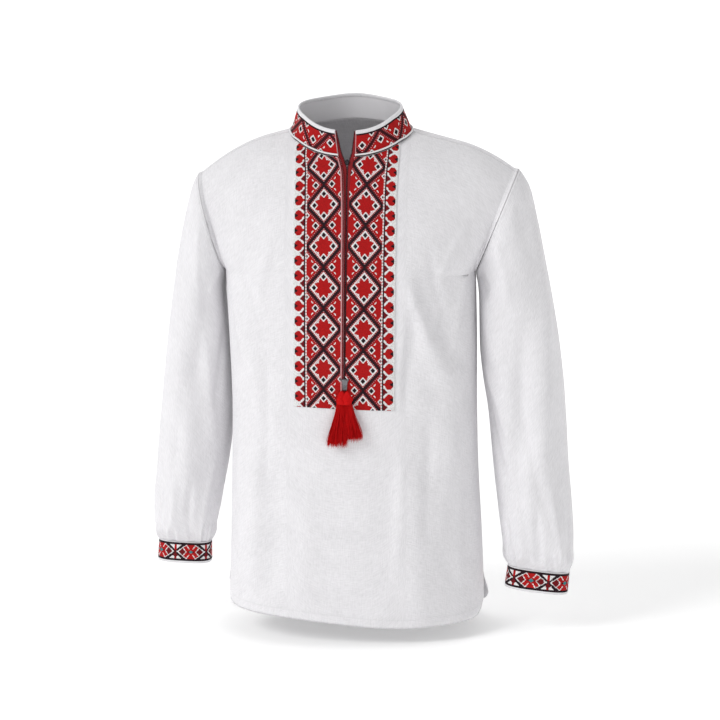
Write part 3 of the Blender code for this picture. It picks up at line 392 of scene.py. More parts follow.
def body(across, over, down):
    """Outer face of the body with its folds, and the outward direction there."""
    across, over, down = np.broadcast_arrays(np.asarray(across, float), over, down)
    plain = body_plain(across, over, down)
    out = body_out(across, over, down)
    level = level_of(over, down)
    front = fold_heights(FRONT_FOLDS, across, level, ACROSS_LENGTH, DOWN_LENGTH)
    behind = fold_heights(BACK_FOLDS, across, level, ACROSS_LENGTH, DOWN_LENGTH)
    seam_calm = smooth_step((1.0 - np.abs(across)) / SEAM_CALM_ACROSS)
    calm_from, calm_to = SEAM_CALM_OVER
    seam_calm = seam_calm * smooth_step((np.abs(over) - calm_from) / (calm_to - calm_from))
    folds = np.where(over < 0.0, front, behind) * seam_calm
    return plain + folds[..., None] * out, out


def neck_over(across):
    """How far forward over the shoulder the front neckline lies, and how far back the other."""
    share = np.clip(across * HALF_CHEST / NECK_HALF_WIDTH, -1.0, 1.0)
    reach = np.sqrt(1.0 - share * share)
    return -(NECK_MIDDLE + NECK_REACH_FRONT * reach), -(NECK_MIDDLE - NECK_REACH_BACK * reach)


def half_lines(inner_lines):
    """Lines across a panel, the same on both sides."""
    lines = list(inner_lines)
    return np.array([-value for value in reversed(lines) if value > 0.0] + lines)


PANEL_EDGE = PANEL_HALF_WIDTH / HALF_CHEST
SLIT_LINE = SLIT_LINE_X / HALF_CHEST
NECK_LINE = NECK_HALF_WIDTH / HALF_CHEST
NECK_MIDDLE_POINT = (0.0, -0.012, 0.0)
CHEST_LINES = tuple(SLIT_LINE + (PANEL_EDGE - SLIT_LINE) * i / 5 for i in range(6))
NECK_LINES = (0.430, 0.456, NECK_LINE)
SIDE_LINES = (0.545, 0.635, 0.725, 0.810, 0.885, 0.940, 0.977, 0.993, 1.0)
BACK_LINES = (0.0, 0.13, 0.25, 0.35) + NECK_LINES[:2] + (NECK_LINE,) + SIDE_LINES
PANEL_DOWN = (ARMPIT_Z - PANEL_FOOT_Z) / (ARMPIT_Z - HEM_Z)
SLIT_DOWN = (ARMPIT_Z - SLIT_FOOT_Z) / (ARMPIT_Z - HEM_Z)
FRONT_UPPER_ROWS = int(90 / STEP_DEGREES) - 1
BACK_UPPER_ROWS = int(90 / STEP_DEGREES) + 1
SHOULDER_RADIUS = 0.17
SLIT_ROWS = 4
LOWER_ROWS = 8
BACK_LOWER_ROWS = 11


def slit_value(name, z):
    column = SLIT_COLUMNS.index(name)
    return through([row[0] for row in SLIT], [row[column] for row in SLIT], z)


def slit_shift(across, z):
    """How far a line on the chest moves so that the first one on each side of the slit lies on
    its edge: lines further out follow less, and those past the panel soon not at all."""
    right = across > 0.0
    edge = np.where(right, slit_value("right", z), slit_value("left", z)) / HALF_CHEST
    follow = np.where(right, PANEL_FOLLOWS_RIGHT, PANEL_FOLLOWS_LEFT)
    wider = np.where(right, 0.0, -PANEL_WIDER_LEFT / HALF_CHEST)
    from_middle = np.abs(across)
    share = np.clip((from_middle - SLIT_LINE) / (PANEL_EDGE - SLIT_LINE), 0.0, 1.0)
    outside = np.clip((NECK_LINES[0] - from_middle) / (NECK_LINES[0] - PANEL_EDGE), 0.0, 1.0)
    inside = (edge - np.sign(across) * SLIT_LINE) * (1.0 + (follow - 1.0) * share)
    return (inside + wider * share) * outside


def sleeve_point(table, stage, turn):
    """Outer face of a sleeve: an ellipse through the section's two edges, front side first,
    with a flatter front and back near the cuff."""
    stages = np.arange(len(table))
    columns = dict(zip(SLEEVE_COLUMNS, zip(*table)))
    row = {name: through(stages, values, stage) for name, values in columns.items()}
    middle_x = (row["outer_x"] + row["inner_x"]) / 2
    middle_z = (row["outer_z"] + row["inner_z"]) / 2
    reach_x = (row["outer_x"] - row["inner_x"]) / 2
    reach_z = (row["outer_z"] - row["inner_z"]) / 2
    angle = 2 * math.pi * np.asarray(turn, float)
    square = smooth_step((stage - SQUARE_FROM_STAGE) / (stages[-1] - SQUARE_FROM_STAGE))
    power = 2.0 / (2.0 + (FOOT_SQUARENESS - 2.0) * square)
    side = np.sign(np.cos(angle)) * np.abs(np.cos(angle)) ** power
    front = np.sign(np.sin(angle)) * np.abs(np.sin(angle)) ** power
    x = middle_x + reach_x * side
    y = row["back"] - row["half_depth"] * front
    z = middle_z + reach_z * side
    return np.stack([x, y, z], axis=-1)


def sleeve_face(table, folds, stage, turn):
    """Outer face with folds and gathers, and the direction out. Both ends stay in their rings."""
    stage, turn = np.broadcast_arrays(np.asarray(stage, float), np.asarray(turn, float))
    small = 1e-3
    last = len(table) - 1
    plain = sleeve_point(table, stage, turn)
    along = sleeve_point(table, np.minimum(stage + small, last), turn)
    along = along - sleeve_point(table, np.maximum(stage - small, 0.0), turn)
    around = sleeve_point(table, stage, turn + small) - sleeve_point(table, stage, turn - small)
    out = unit(np.cross(around, along))
    middle = (sleeve_point(table, stage, 0.0) + sleeve_point(table, stage, 0.5)) / 2
    out = out * np.sign(np.sum(out * (plain - middle), axis=-1, keepdims=True))
    flat = unit(plain - middle)
    at_end = np.maximum(smooth_step(1.0 - stage / END_RUN), smooth_step(stage - (last - 1.0)))
    out = unit(out + (flat - out) * at_end[..., None])
    wrapped = [turn - 1.0, turn, turn + 1.0]
    folded = sum(fold_heights(folds, each, stage, AROUND_LENGTH, STAGE_LENGTH) for each in wrapped)
    folded = folded * smooth_step(stage / 2.0) * smooth_step((last - stage) / 2.0)
    pressed = 0.5 * smooth_step((stage - GATHER_PRESSED_FROM) / (last - GATHER_PRESSED_FROM))
    full = smooth_step((stage - GATHER_FROM_STAGE) / GATHER_RUN) * (1.0 - pressed)
    gathered = GATHER_HEIGHT * full * np.cos(2 * math.pi * GATHERS * turn)
    return plain + (folded + gathered)[..., None] * out, out


def sleeve_table(side):
    """The sections of one sleeve, the first one being the armhole."""
    below = RIGHT_SLEEVE if side > 0.0 else LEFT_SLEEVE
    tip = RIGHT_TIP_X if side > 0.0 else LEFT_TIP_X
    armpit = BODY[0][BODY_COLUMNS.index("right" if side > 0.0 else "left")]
    height = float(shoulder_height(side * tip))
    return ((side * tip, height, side * armpit, ARMPIT_Z, ARMHOLE_HALF_DEPTH, 0.0), *below)


def armhole_clearance(table):
    """A step square to the armhole's plane, away from the body."""
    outer_x, outer_z, inner_x, inner_z = table[0][:4]
    square = unit(np.array([outer_z - inner_z, 0.0, inner_x - outer_x]))
    return ARMHOLE_GAP * square * np.sign(outer_x)


def neck_ring(turn):
    """Points on the neckline and the outward directions; turn is 0 at the front middle."""
    across = NECK_LINE * np.sin(turn)
    reach = np.where(np.cos(turn) > 0.0, NECK_REACH_FRONT, NECK_REACH_BACK)
    over = -(NECK_MIDDLE + reach * np.cos(turn))
    return body(across, over, 0.0 * turn)


def collar_face(turn, height):
    """The collar's outer face: the neckline raised by height, leaning in towards the neck.

    In front, where the chest panel lies on the shirt, the foot stands clear of the panel too.
    """
    base, out = neck_ring(turn)
    inward = base - np.array(NECK_MIDDLE_POINT)
    inward[..., 2] = 0.0
    lift_from, lift_to = COLLAR_LIFT_TURN
    front = COLLAR_FRONT_LIFT * smooth_step((np.cos(turn) - lift_from) / (lift_to - lift_from))
    rise = np.array([0.0, 0.0, 1.0]) * (height + front + SEAM_GAP)[..., None]
    more = np.where(np.sin(turn) > 0.0, COLLAR_LEAN_MORE_RIGHT, COLLAR_LEAN_MORE_LEFT)
    lean = COLLAR_LEAN + more * smooth_step(np.abs(np.sin(turn)))
    lean = -inward * (lean * height / COLLAR_HEIGHT)[..., None]
    return base + out * (front * COLLAR_LIFT_OUT)[..., None] + rise + lean


def collar_out(turn, height):
    """Direction square to the collar's outer face."""
    small = 1e-3
    ahead = collar_face(turn + small, height) - collar_face(turn - small, height)
    up = collar_face(turn, height + small) - collar_face(turn, height)
    return unit(np.cross(ahead, up))


def collar_end(side, share):
    """How far from the middle a front end of the collar is, at a share of its height."""
    if side > 0.0:
        return V_RIGHT_BASE + (V_RIGHT_TOP - V_RIGHT_BASE) * share
    return V_LEFT_BASE + (V_LEFT_TOP - V_LEFT_BASE) * share


def collar_half_width(share):
    """Half the collar's width where it stands open, at a share of its height."""
    return NECK_HALF_WIDTH * (1.0 - COLLAR_LEAN * share)


def front_y(z):
    """Depth of the front's outer face at the middle, at a height below the neckline."""
    steps = 60
    middle = np.zeros(steps)
    upper, _ = body(middle, np.linspace(-0.5, -1.0, steps), 0.0)
    lower, _ = body(middle, -1.0, np.linspace(0.0, 1.0, steps))
    line = np.concatenate([upper, lower[1:]])[::-1]
    return float(np.interp(z, line[:, 2], line[:, 1]))


# Colours of thread as seen, one for each letter of the stitch charts: white, black, red, dark
# red, teal and pink
THREADS = {
    "W": (0.80, 0.79, 0.79),
    "K": (0.020, 0.008, 0.012),
    "R": (0.43, 0.008, 0.009),
    "D": (0.16, 0.006, 0.010),
    "T": (0.030, 0.250, 0.270),
    "P": (0.60, 0.30, 0.31),
}
W, K, R, D, T, P = range(len(THREADS))
LINEN_COLOUR = (0.80, 0.79, 0.81)
# The lining is the same linen as the outside, painted lighter as painted light against the shade inside the
# collar
LINING_PAINTED_LIGHTER = (0.88, 0.87, 0.89)
THREAD_UNEVEN = 0.16

# Finer creases, laid out like the folds above. The body's are drawn this many times deeper still,
# and die away beside seams and over the chest panel.
BODY_CREASES_DEEPER = 1.25
CREASES_CALM_ACROSS = 0.05
CREASES_CALM_OVER = 0.16
CREASES_CALM_RUN = 0.25
CREASES_PAST_PANEL = 0.40
CREASES_PAST_PANEL_RUN = 0.08
CREASES_BELOW_PANEL_RUN = 0.06
FRONT_CREASES = (
    (0.47, 0.00, 0.66, 0.22, 0.009, 0.0020),
    (0.60, -0.10, 0.80, 0.14, 0.008, -0.0020),
    (0.86, -0.16, 0.70, 0.05, 0.007, 0.0018),
    (0.95, -0.06, 0.80, 0.26, 0.008, 0.0022),
    (0.92, 0.02, 0.60, 0.20, 0.009, -0.0018),
    (0.88, 0.30, 0.70, 0.80, 0.012, 0.0020),
    (0.66, 0.36, 0.60, 0.78, 0.010, -0.0015),
    (0.44, 0.42, 0.40, 0.90, 0.013, 0.0016),
    (-0.28, 0.58, -0.36, 1.02, 0.022, 0.0012),
    (0.62, -0.02, 0.38, 0.40, 0.020, -0.0030),
    (0.50, 0.04, 0.30, 0.46, 0.016, 0.0022),
    (-0.62, 0.20, -0.66, 0.66, 0.010, -0.0018),
    (-0.93, -0.02, -0.80, 0.30, 0.008, 0.0020),
    (-0.88, -0.12, -0.70, 0.12, 0.008, -0.0018),
    (-0.55, -0.12, -0.72, 0.10, 0.009, 0.0016),
    (-0.90, 0.36, -0.86, 0.92, 0.010, 0.0018),
    (0.93, 0.50, 0.90, 0.98, 0.010, -0.0020),
    (-0.62, 0.70, -0.22, 0.76, 0.006, -0.0008),
    (-0.20, 0.75, 0.46, 0.71, 0.006, -0.0009),
)
BACK_CREASES = (
    (0.90, -0.10, 0.66, 0.16, 0.008, 0.0020),
    (-0.92, -0.08, -0.62, 0.18, 0.008, 0.0020),
    (-0.70, 0.10, -0.60, 0.60, 0.011, -0.0018),
    (0.44, 0.20, 0.46, 0.80, 0.012, -0.0016),
    (-0.10, 0.30, -0.08, 1.00, 0.014, 0.0016),
    (0.05, -0.30, 0.02, 0.24, 0.013, -0.0012),
    (0.90, 0.40, 0.86, 1.00, 0.010, 0.0020),
    (-0.90, 0.46, -0.88, 1.00, 0.010, -0.0018),
    (-0.48, 0.50, -0.52, 1.02, 0.012, 0.0018),
    (0.34, 0.62, 0.38, 1.02, 0.012, 0.0018),
    (-0.30, -0.36, -0.48, 0.00, 0.010, 0.0014),
    (0.32, -0.34, 0.50, 0.02, 0.010, 0.0014),
)
RIGHT_SLEEVE_CREASES = (
    (0.30, 0.4, 0.26, 3.4, 0.009, 0.0024),
    (0.44, 0.3, 0.36, 2.4, 0.007, -0.0022),
    (0.16, 0.4, 0.13, 3.0, 0.010, -0.0020),
    (0.05, 1.4, 0.12, 5.0, 0.011, 0.0022),
    (0.44, 4.0, 0.31, 7.6, 0.008, 0.0026),
    (0.46, 5.4, 0.35, 9.0, 0.007, -0.0024),
    (0.28, 5.8, 0.20, 9.6, 0.010, -0.0024),
    (0.34, 8.0, 0.30, 11.5, 0.007, 0.0026),
    (0.24, 8.6, 0.25, 11.5, 0.006, -0.0024),
    (0.17, 8.2, 0.15, 11.5, 0.007, 0.0024),
    (0.08, 8.8, 0.09, 11.4, 0.006, -0.0020),
    (0.40, 9.0, 0.38, 11.5, 0.006, -0.0020),
    (0.58, 0.6, 0.62, 3.8, 0.010, 0.0022),
    (0.70, 4.2, 0.66, 8.4, 0.009, -0.0024),
    (0.88, 1.2, 0.92, 5.0, 0.011, 0.0020),
    (0.60, 8.4, 0.62, 11.5, 0.007, 0.0022),
    (0.74, 8.8, 0.72, 11.5, 0.006, -0.0022),
    (0.90, 8.6, 0.88, 11.5, 0.007, 0.0022),
)
LEFT_SLEEVE_CREASES = (
    (0.22, 0.4, 0.26, 3.2, 0.009, 0.0022),
    (0.42, 0.3, 0.33, 2.6, 0.007, 0.0022),
    (0.10, 0.8, 0.14, 4.2, 0.011, -0.0022),
    (0.44, 3.0, 0.34, 6.8, 0.008, -0.0024),
    (0.30, 3.6, 0.36, 8.0, 0.009, 0.0022),
    (0.22, 5.4, 0.19, 9.2, 0.009, -0.0022),
    (0.38, 7.6, 0.34, 11.5, 0.007, 0.0026),
    (0.28, 8.4, 0.27, 11.5, 0.006, -0.0026),
    (0.20, 8.0, 0.21, 11.5, 0.007, 0.0026),
    (0.12, 8.8, 0.13, 11.5, 0.006, -0.0022),
    (0.04, 8.4, 0.05, 11.4, 0.007, 0.0020),
    (0.60, 0.5, 0.66, 3.6, 0.010, 0.0022),
    (0.74, 3.4, 0.70, 7.6, 0.009, -0.0024),
    (0.92, 2.0, 0.88, 6.0, 0.010, 0.0020),
    (0.62, 8.2, 0.64, 11.5, 0.007, 0.0024),
    (0.76, 8.6, 0.75, 11.5, 0.006, -0.0022),
    (0.88, 8.2, 0.90, 11.5, 0.007, 0.0022),
)

# How finely the solids' lines are cut: parts of each gap across, and of each row down
CHEST_PARTS = 4
SIDE_PARTS = 5
UPPER_PARTS = 4
LOWER_PARTS = 9
SLEEVE_COLUMNS_FINE = 168
SLEEVE_ROWS_A_STAGE = 11

# Finer gathers above the cuff: how many round the sleeve, their lag and their height
FINE_GATHERS = ((26, 0.3, 0.0011), (37, 1.9, 0.0007), (19, 4.0, 0.0009))
FINE_GATHERS_FROM = 10.2
FINE_GATHERS_RUNS = (1.2, 0.12)
SLEEVE_CREASE_RUNS = (0.6, 0.3)
SLEEVE_HEAD_FULLNESS = 0.0012
SLEEVE_HEAD_STAGES = (0.0, 0.25, 2.0, 1.6)

# Hem and seams: the pressed double bands, and the stitches beside them
SHELL = 0.0011
HEM_BAND = 0.0150
SEAM_BAND = 0.0075
HEM_STITCH_IN = 0.0022
SIDE_STITCH_IN = 0.0053
SIDE_STITCH_FROM_ROW = 2
SIDE_STITCH_SHARE = 0.36
SLEEVE_SEAM_FROM_EDGE = 0.0009
SLEEVE_PLAIN_FROM_CUFF = 0.0200
CUFF_PATH_STEPS = 721

# Stitches are cut into two by two faces, so the first face's middle lies a quarter stitch in
FACE_MIDDLE = 0.25
STITCH_HEIGHT = 0.00045
STITCH_VALLEY = 0.35


def fine(values, parts):
    """A rising list with every gap cut into equal parts."""
    values = np.asarray(values, float)
    share = np.arange(parts) / parts
    cut = values[:-1, None] + (values[1:] - values[:-1])[:, None] * share
    return np.append(cut.ravel(), values[-1])


def lengths(points, axis):
    """Distance run along the rows or columns of a grid of points."""
    step = np.linalg.norm(np.diff(points, axis=axis), axis=-1)
    start = np.zeros_like(np.take(step, [0], axis=axis))
    return np.concatenate([start, np.cumsum(step, axis=axis)], axis=axis)


def add_to_scene(name, data):
    """A new object of the scene from its mesh, lamp or camera."""
    thing = bpy.data.objects.new(name, data)
    bpy.context.scene.collection.objects.link(thing)
    return thing


def make(name, points, faces, look, maps=(), tint=None):
    """A piece from points and faces of one size. Each map is (name, values for each corner), and
    tint is a colour for each face."""
    points = np.asarray(points, float).reshape(-1, 3)
    count, size = faces.shape
    mesh = bpy.data.meshes.new(name)
    mesh.vertices.add(len(points))
    mesh.vertices.foreach_set("co", points.ravel())
    mesh.loops.add(count * size)
    mesh.loops.foreach_set("vertex_index", faces.ravel().astype(np.int32))
    mesh.polygons.add(count)
    mesh.polygons.foreach_set("loop_start", (np.arange(count) * size).astype(np.int32))
    mesh.update(calc_edges=True)
    for map_name, values in maps:
        layer = mesh.uv_layers.new(name=map_name)
        layer.data.foreach_set("uv", np.asarray(values, float).ravel())
    if tint is not None:
        colour = mesh.color_attributes.new("tint", "FLOAT_COLOR", "CORNER")
        corners = np.repeat(np.concatenate([tint, np.ones((count, 1))], axis=1), size, axis=0)
        colour.data.foreach_set("color", corners.ravel())
    mesh.shade_smooth()
    mesh.materials.append(look)
    piece = add_to_scene(name, mesh)
    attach(piece, "root")
    return piece


def quads(rows, columns, ring=False):
    """Faces of a grid, row by row, as the numbers of their four points."""
    index = np.arange(rows * columns).reshape(rows, columns)
    if ring:
        index = np.concatenate([index, index[:, :1]], axis=1)
    return np.stack([index[:-1, :-1], index[:-1, 1:], index[1:, 1:], index[1:, :-1]], axis=-1)


def wall(name, outer, inner, look, keep=None, ring=False, edges=None, tint=None):
    """A closed shell of cloth between two grids. Its weave map is in metres along the cut, and
    edges, if given, has two distances from seams at each point. Tint colours the outer faces, and
    the inner ones and the rim take the lining's colour: the same linen painted lighter as painted light."""
    rows, columns = outer.shape[:2]
    faces = quads(rows, columns, ring)
    spans = faces.shape[1]
    around = np.concatenate([outer, outer[:, :1]], axis=1) if ring else outer
    weave = np.stack([lengths(around, 1), lengths(around, 0)], axis=-1)
    maps = [("weave", weave)]
    if edges is not None:
        edges = np.concatenate([edges, edges[:, :1]], axis=1) if ring else edges
        maps.append(("edges", edges))
    corners = [(slice(0, -1), slice(0, -1)), (slice(0, -1), slice(1, None))]
    corners += [(slice(1, None), slice(1, None)), (slice(1, None), slice(0, -1))]
    placed = [np.stack([values[corner] for corner in corners], axis=2) for _, values in maps]
    shown = np.ones((rows - 1, spans), bool) if keep is None else keep
    faces = faces[shown]
    placed = [values[shown] for values in placed]
    flat = outer.reshape(-1, 3)
    a, b, d = flat[faces[:, 0]], flat[faces[:, 1]], flat[faces[:, 3]]
    facing = (outer - inner).reshape(-1, 3)[faces[:, 0]]
    if np.sum(np.cross(b - a, d - a) * facing) < 0.0:
        faces = faces[:, ::-1]
        placed = [values[:, ::-1] for values in placed]
    count = rows * columns
    start = faces.ravel()
    end = np.roll(faces, -1, axis=1).ravel()
    border = ~np.isin(start * count + end, end * count + start)
    start, end = start[border], end[border]
    rim = np.stack([end, start, start + count, end + count], axis=1)
    every = np.concatenate([faces, faces[:, ::-1] + count, rim])
    values = []
    for (map_name, _), value in zip(maps, placed):
        at_start = value.reshape(-1, 2)[border]
        at_end = np.roll(value, -1, axis=1).reshape(-1, 2)[border]
        round_edge = np.stack([at_end, at_start, at_start, at_end], axis=1)
        values.append((map_name, np.concatenate([value, value[:, ::-1], round_edge])))
    if tint is not None:
        # Inner faces and rim take the lining's colour, painted lighter as painted light
        rest = np.tile(LINING_PAINTED_LIGHTER, (len(faces) + len(rim), 1))
        tint = np.concatenate([tint[shown], rest])
    points = np.concatenate([flat, inner.reshape(-1, 3)])
    return make(name, points, every, look, values, tint)


def shader_in(look):
    return look.node_tree.nodes["Principled BSDF"]


def shader_of(name, roughness, colour=(0.5, 0.5, 0.5), metallic=0.0, sheen=0.0, specular=0.3):
    """A new material with its shader, and a short way to add and link nodes."""
    look = bpy.data.materials.new(name)
    look.use_nodes = True
    tree = look.node_tree
    shader = shader_in(look)
    shader.inputs["Base Color"].default_value = (*colour, 1.0)
    shader.inputs["Roughness"].default_value = roughness
    shader.inputs["Metallic"].default_value = metallic
    shader.inputs["Sheen Weight"].default_value = sheen
    shader.inputs["Specular IOR Level"].default_value = specular

    def add(kind, *inputs, **settings):
        node = tree.nodes.new("ShaderNode" + kind)
        for key, value in settings.items():
            setattr(node, key, value)
        for socket, value in zip(node.inputs, inputs):
            if value is None:
                continue
            if isinstance(value, bpy.types.NodeSocket):
                tree.links.new(value, socket)
            else:
                socket.default_value = value
        return node.outputs

    return look, add


def maths(add, operation, *values):
    return add("Math", *values, operation=operation)[0]


def toned(look, add, tone, colour):
    """Gives the shader its colour times an uneven tone."""
    shade = add("CombineXYZ", tone, tone, tone)[0]
    mixed = add("VectorMath", shade, colour, operation="MULTIPLY")[0]
    look.node_tree.links.new(mixed, shader_in(look).inputs["Base Color"])


def bumped(look, add, height, strength, distance):
    """Raises the surface by a height, one unit of it being the distance given."""
    bump = add("Bump")[0]
    bump.node.inputs["Strength"].default_value = strength
    bump.node.inputs["Distance"].default_value = distance
    look.node_tree.links.new(height, bump.node.inputs["Height"])
    look.node_tree.links.new(bump, shader_in(look).inputs["Normal"])


def weave_height(add, u, v, pitch):
    """Threads over and under: the product of two waves, one along each thread."""
    turn = 2 * math.pi / pitch
    across = maths(add, "SINE", maths(add, "MULTIPLY", u, turn))
    along = maths(add, "SINE", maths(add, "MULTIPLY", v, turn))
    return maths(add, "MULTIPLY", across, along)


# Linen: waves a metre of a slub along and across its thread, and of the slow change in tone
SLUB_ALONG = 90.0
SLUB_ACROSS = 620.0
CLOUDS = 22.0
LINEN_PITCH = 0.0011
WEAVE_SHARE = 0.03
SLUB_SHARE = 0.8
SLUB_TONE = (0.20, 0.76)
CLOUD_TONE = 0.09
BAND_EDGE = 0.0008
GROOVE_HALF = 0.0009
GROOVE_DEPTH = 0.7
# Painted shade: how much darker the colour is painted in the stitch groove and at the seam's foot
GROOVE_PAINTED_SHADE = 0.06
FOOT_WIDTH = 0.0012
SEAM_FOOT_PAINTED_SHADE = 0.02


def linen_look(name, seams):
    """Plain linen weave with uneven threads. Beside its seams the cloth is double and pressed, and its
    colour is painted darker in the stitch groove and at the seam's foot as painted shade.
    """
    look, add = shader_of(name, roughness=0.88, colour=LINEN_COLOUR, sheen=0.12, specular=0.2)
    place = add("UVMap", uv_map="weave")[0]
    split = add("SeparateXYZ", place)
    u, v = split[0], split[1]
    slubs = []
    for scale_u, scale_v in ((SLUB_ALONG, SLUB_ACROSS), (SLUB_ACROSS, SLUB_ALONG)):
        scaled = [maths(add, "MULTIPLY", u, scale_u), maths(add, "MULTIPLY", v, scale_v)]
        drawn_out = add("CombineXYZ", *scaled)[0]
        slubs.append(add("TexNoise", drawn_out, None, 1.0, 3.0, noise_dimensions="2D")[0])
    threads = maths(add, "ADD", *slubs)
    cloudy = add("TexNoise", place, None, CLOUDS, 2.0, noise_dimensions="2D")[0]
    tone = maths(add, "MULTIPLY_ADD", threads, *SLUB_TONE)
    tone = maths(add, "MULTIPLY_ADD", cloudy, CLOUD_TONE, tone)
    slub_height = maths(add, "MULTIPLY", threads, SLUB_SHARE)
    woven = weave_height(add, u, v, LINEN_PITCH)
    height = maths(add, "MULTIPLY_ADD", woven, WEAVE_SHARE, slub_height)
    if seams:
        edge = add("SeparateXYZ", add("UVMap", uv_map="edges")[0])
        for distance, width in ((edge[0], SEAM_BAND), (edge[1], HEM_BAND)):
            inside = add("MapRange", distance, width - BAND_EDGE, width + BAND_EDGE, 1.0, 0.0)[0]
            sewn = maths(add, "ABSOLUTE", maths(add, "SUBTRACT", distance, width - HEM_STITCH_IN))
            groove = add("MapRange", sewn, 0.0, GROOVE_HALF, 1.0, 0.0)[0]
            foot = add("MapRange", distance, 0.0, FOOT_WIDTH, 1.0, 0.0)[0]
            raised = maths(add, "SUBTRACT", inside, maths(add, "MULTIPLY", groove, GROOVE_DEPTH))
            height = maths(add, "ADD", height, maths(add, "SUBTRACT", raised, foot))
            # Painted shade: the colour is darkened in the stitch groove and at the seam's foot
            for mark, painted_shade in ((groove, GROOVE_PAINTED_SHADE), (foot, SEAM_FOOT_PAINTED_SHADE)):
                tone = maths(add, "SUBTRACT", tone, maths(add, "MULTIPLY", mark, painted_shade))
    toned(look, add, tone, LINEN_COLOUR)
    bumped(look, add, height, strength=0.7, distance=0.0005)
    return look


def thread_look(name, pitch):
    """Stitched thread: the colour of each stitch, with fine strands across it."""
    look, add = shader_of(name, roughness=0.72, sheen=0.04, specular=0.12)
    tint = add("Attribute", attribute_name="tint", attribute_type="GEOMETRY")[0]
    look.node_tree.links.new(tint, shader_in(look).inputs["Base Color"])
    split = add("SeparateXYZ", add("UVMap", uv_map="weave")[0])
    strands = weave_height(add, split[0], split[1], pitch)
    bumped(look, add, strands, strength=0.4, distance=0.0002)
    return look


def plain_look(name, colour, roughness, metallic=0.0, sheen=0.0, specular=0.3, grain=900.0):
    """One colour, slightly uneven in tone, with a fine grain."""
    look, add = shader_of(name, roughness, colour, metallic, sheen, specular)
    noise = add("TexNoise", add("TexCoord")[3], None, grain, 2.0)[0]
    toned(look, add, maths(add, "MULTIPLY_ADD", noise, 0.4, 0.8), colour)
    bumped(look, add, noise, strength=0.5, distance=0.00015)
    return look


LINEN = linen_look("linen_cloth", True)
LINEN_TRIM = linen_look("linen_trim", False)
STITCHED = thread_look("stitched_thread", 0.0009)
TAPE = plain_look("zip_tape_cloth", (0.26, 0.010, 0.014), 0.8, sheen=0.1)
COIL = plain_look("zip_coil", (0.030, 0.004, 0.008), 0.45)
DARK_METAL = plain_look("dark_metal", (0.045, 0.045, 0.050), 0.35, metallic=1.0, grain=300.0)
CAP_METAL = plain_look("cap_metal", (0.22, 0.22, 0.235), 0.38, metallic=1.0)
TASSEL = plain_look("tassel_thread", (0.54, 0.004, 0.005), 0.7, specular=0.1, grain=700.0)
WHITE_THREAD = plain_look("white_thread", (0.80, 0.80, 0.81), 0.7, grain=2000.0)

# Lines of topstitching and the outward directions along them, filled in as the pieces are made
STITCH_PATHS = []


def body_creases(table, across, over, down):
    """Heights of the body's finer creases."""
    level = level_of(over, down)
    return BODY_CREASES_DEEPER * fold_heights(table, across, level, ACROSS_LENGTH, DOWN_LENGTH)


def calm_near_seams(across, over):
    calm = smooth_step((1.0 - np.abs(across)) / CREASES_CALM_ACROSS)
    return calm * smooth_step((np.abs(over) - CREASES_CALM_OVER) / CREASES_CALM_RUN)


def front_lines():
    """Lines across the front: the solid's own, with more between them."""
    chest = fine(CHEST_LINES, CHEST_PARTS)
    side = fine((CHEST_LINES[-1],) + NECK_LINES + SIDE_LINES, SIDE_PARTS)
    return half_lines(tuple(chest) + tuple(side[1:]))


def front_face(lines):
    """Points of the front's outer face in rows from the neck to the hem, and how many rows the
    slit runs through."""
    coarse = np.linspace(0.0, 1.0, FRONT_UPPER_ROWS + 1)
    share = fine(coarse, UPPER_PARTS)[:, None]

    def rows_over(across):
        top = -math.sin(math.radians(STEP_DEGREES) + SEAM_GAP / SHOULDER_RADIUS)
        neck, _ = neck_over(across)
        start = np.arcsin(np.where(np.abs(across) < NECK_LINE, neck, top))
        return np.sin(start + (-math.pi / 2 - start) * share)

    slit = np.linspace(0.0, SLIT_DOWN, SLIT_ROWS + 1)
    gap = np.linspace(SLIT_DOWN, PANEL_DOWN, 3)
    lower = np.linspace(PANEL_DOWN, 1.0, LOWER_ROWS + 1)
    below = np.concatenate([fine(part, LOWER_PARTS)[1:] for part in (slit, gap, lower)])
    upper = rows_over(lines)
    over = np.concatenate([upper, np.full((len(below), len(lines)), -1.0)])
    down = np.concatenate([np.zeros(upper.shape), below[:, None] + np.zeros_like(lines)])
    across = lines + slit_shift(lines, body_plain(lines, over, down)[..., 2])
    for row in range(len(upper)):
        over[row] = rows_over(across[row])[row]
    points, out = body(across, over, down)
    points[..., 1] -= SEAM_GAP / 2
    return across, over, down, points, out, len(share) - 1 + (len(slit) - 1) * LOWER_PARTS


def seam_distances(points):
    """At each point, how far it is from the side edge of the panel and from the hem."""
    run = lengths(points, 1)
    side = np.minimum(run, run[:, -1:] - run)
    fallen = lengths(points, 0)
    return np.stack([side, fallen[-1:] - fallen], axis=-1)


def front():
    """The front panel, cut open along the slit, with its creases beside and below the chest panel."""
    lines = front_lines()
    across, over, down, points, out, slit_rows = front_face(lines)
    calm = calm_near_seams(across, over)
    beside_panel = smooth_step((np.abs(across) - CREASES_PAST_PANEL) / CREASES_PAST_PANEL_RUN)
    below_panel = smooth_step((down - PANEL_DOWN) / CREASES_BELOW_PANEL_RUN)
    height = body_creases(FRONT_CREASES, across, over, down) * calm * np.maximum(beside_panel, below_panel)
    points = points + height[..., None] * out
    keep = np.ones((points.shape[0] - 1, points.shape[1] - 1), bool)
    keep[:slit_rows, len(lines) // 2 - 1] = False
    edges = seam_distances(points)
    piece = wall("front_cloth", points, points - SHELL * out, LINEN, keep, edges=edges)
    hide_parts("front")
    stitch_beside(points, out, edges)
    return piece


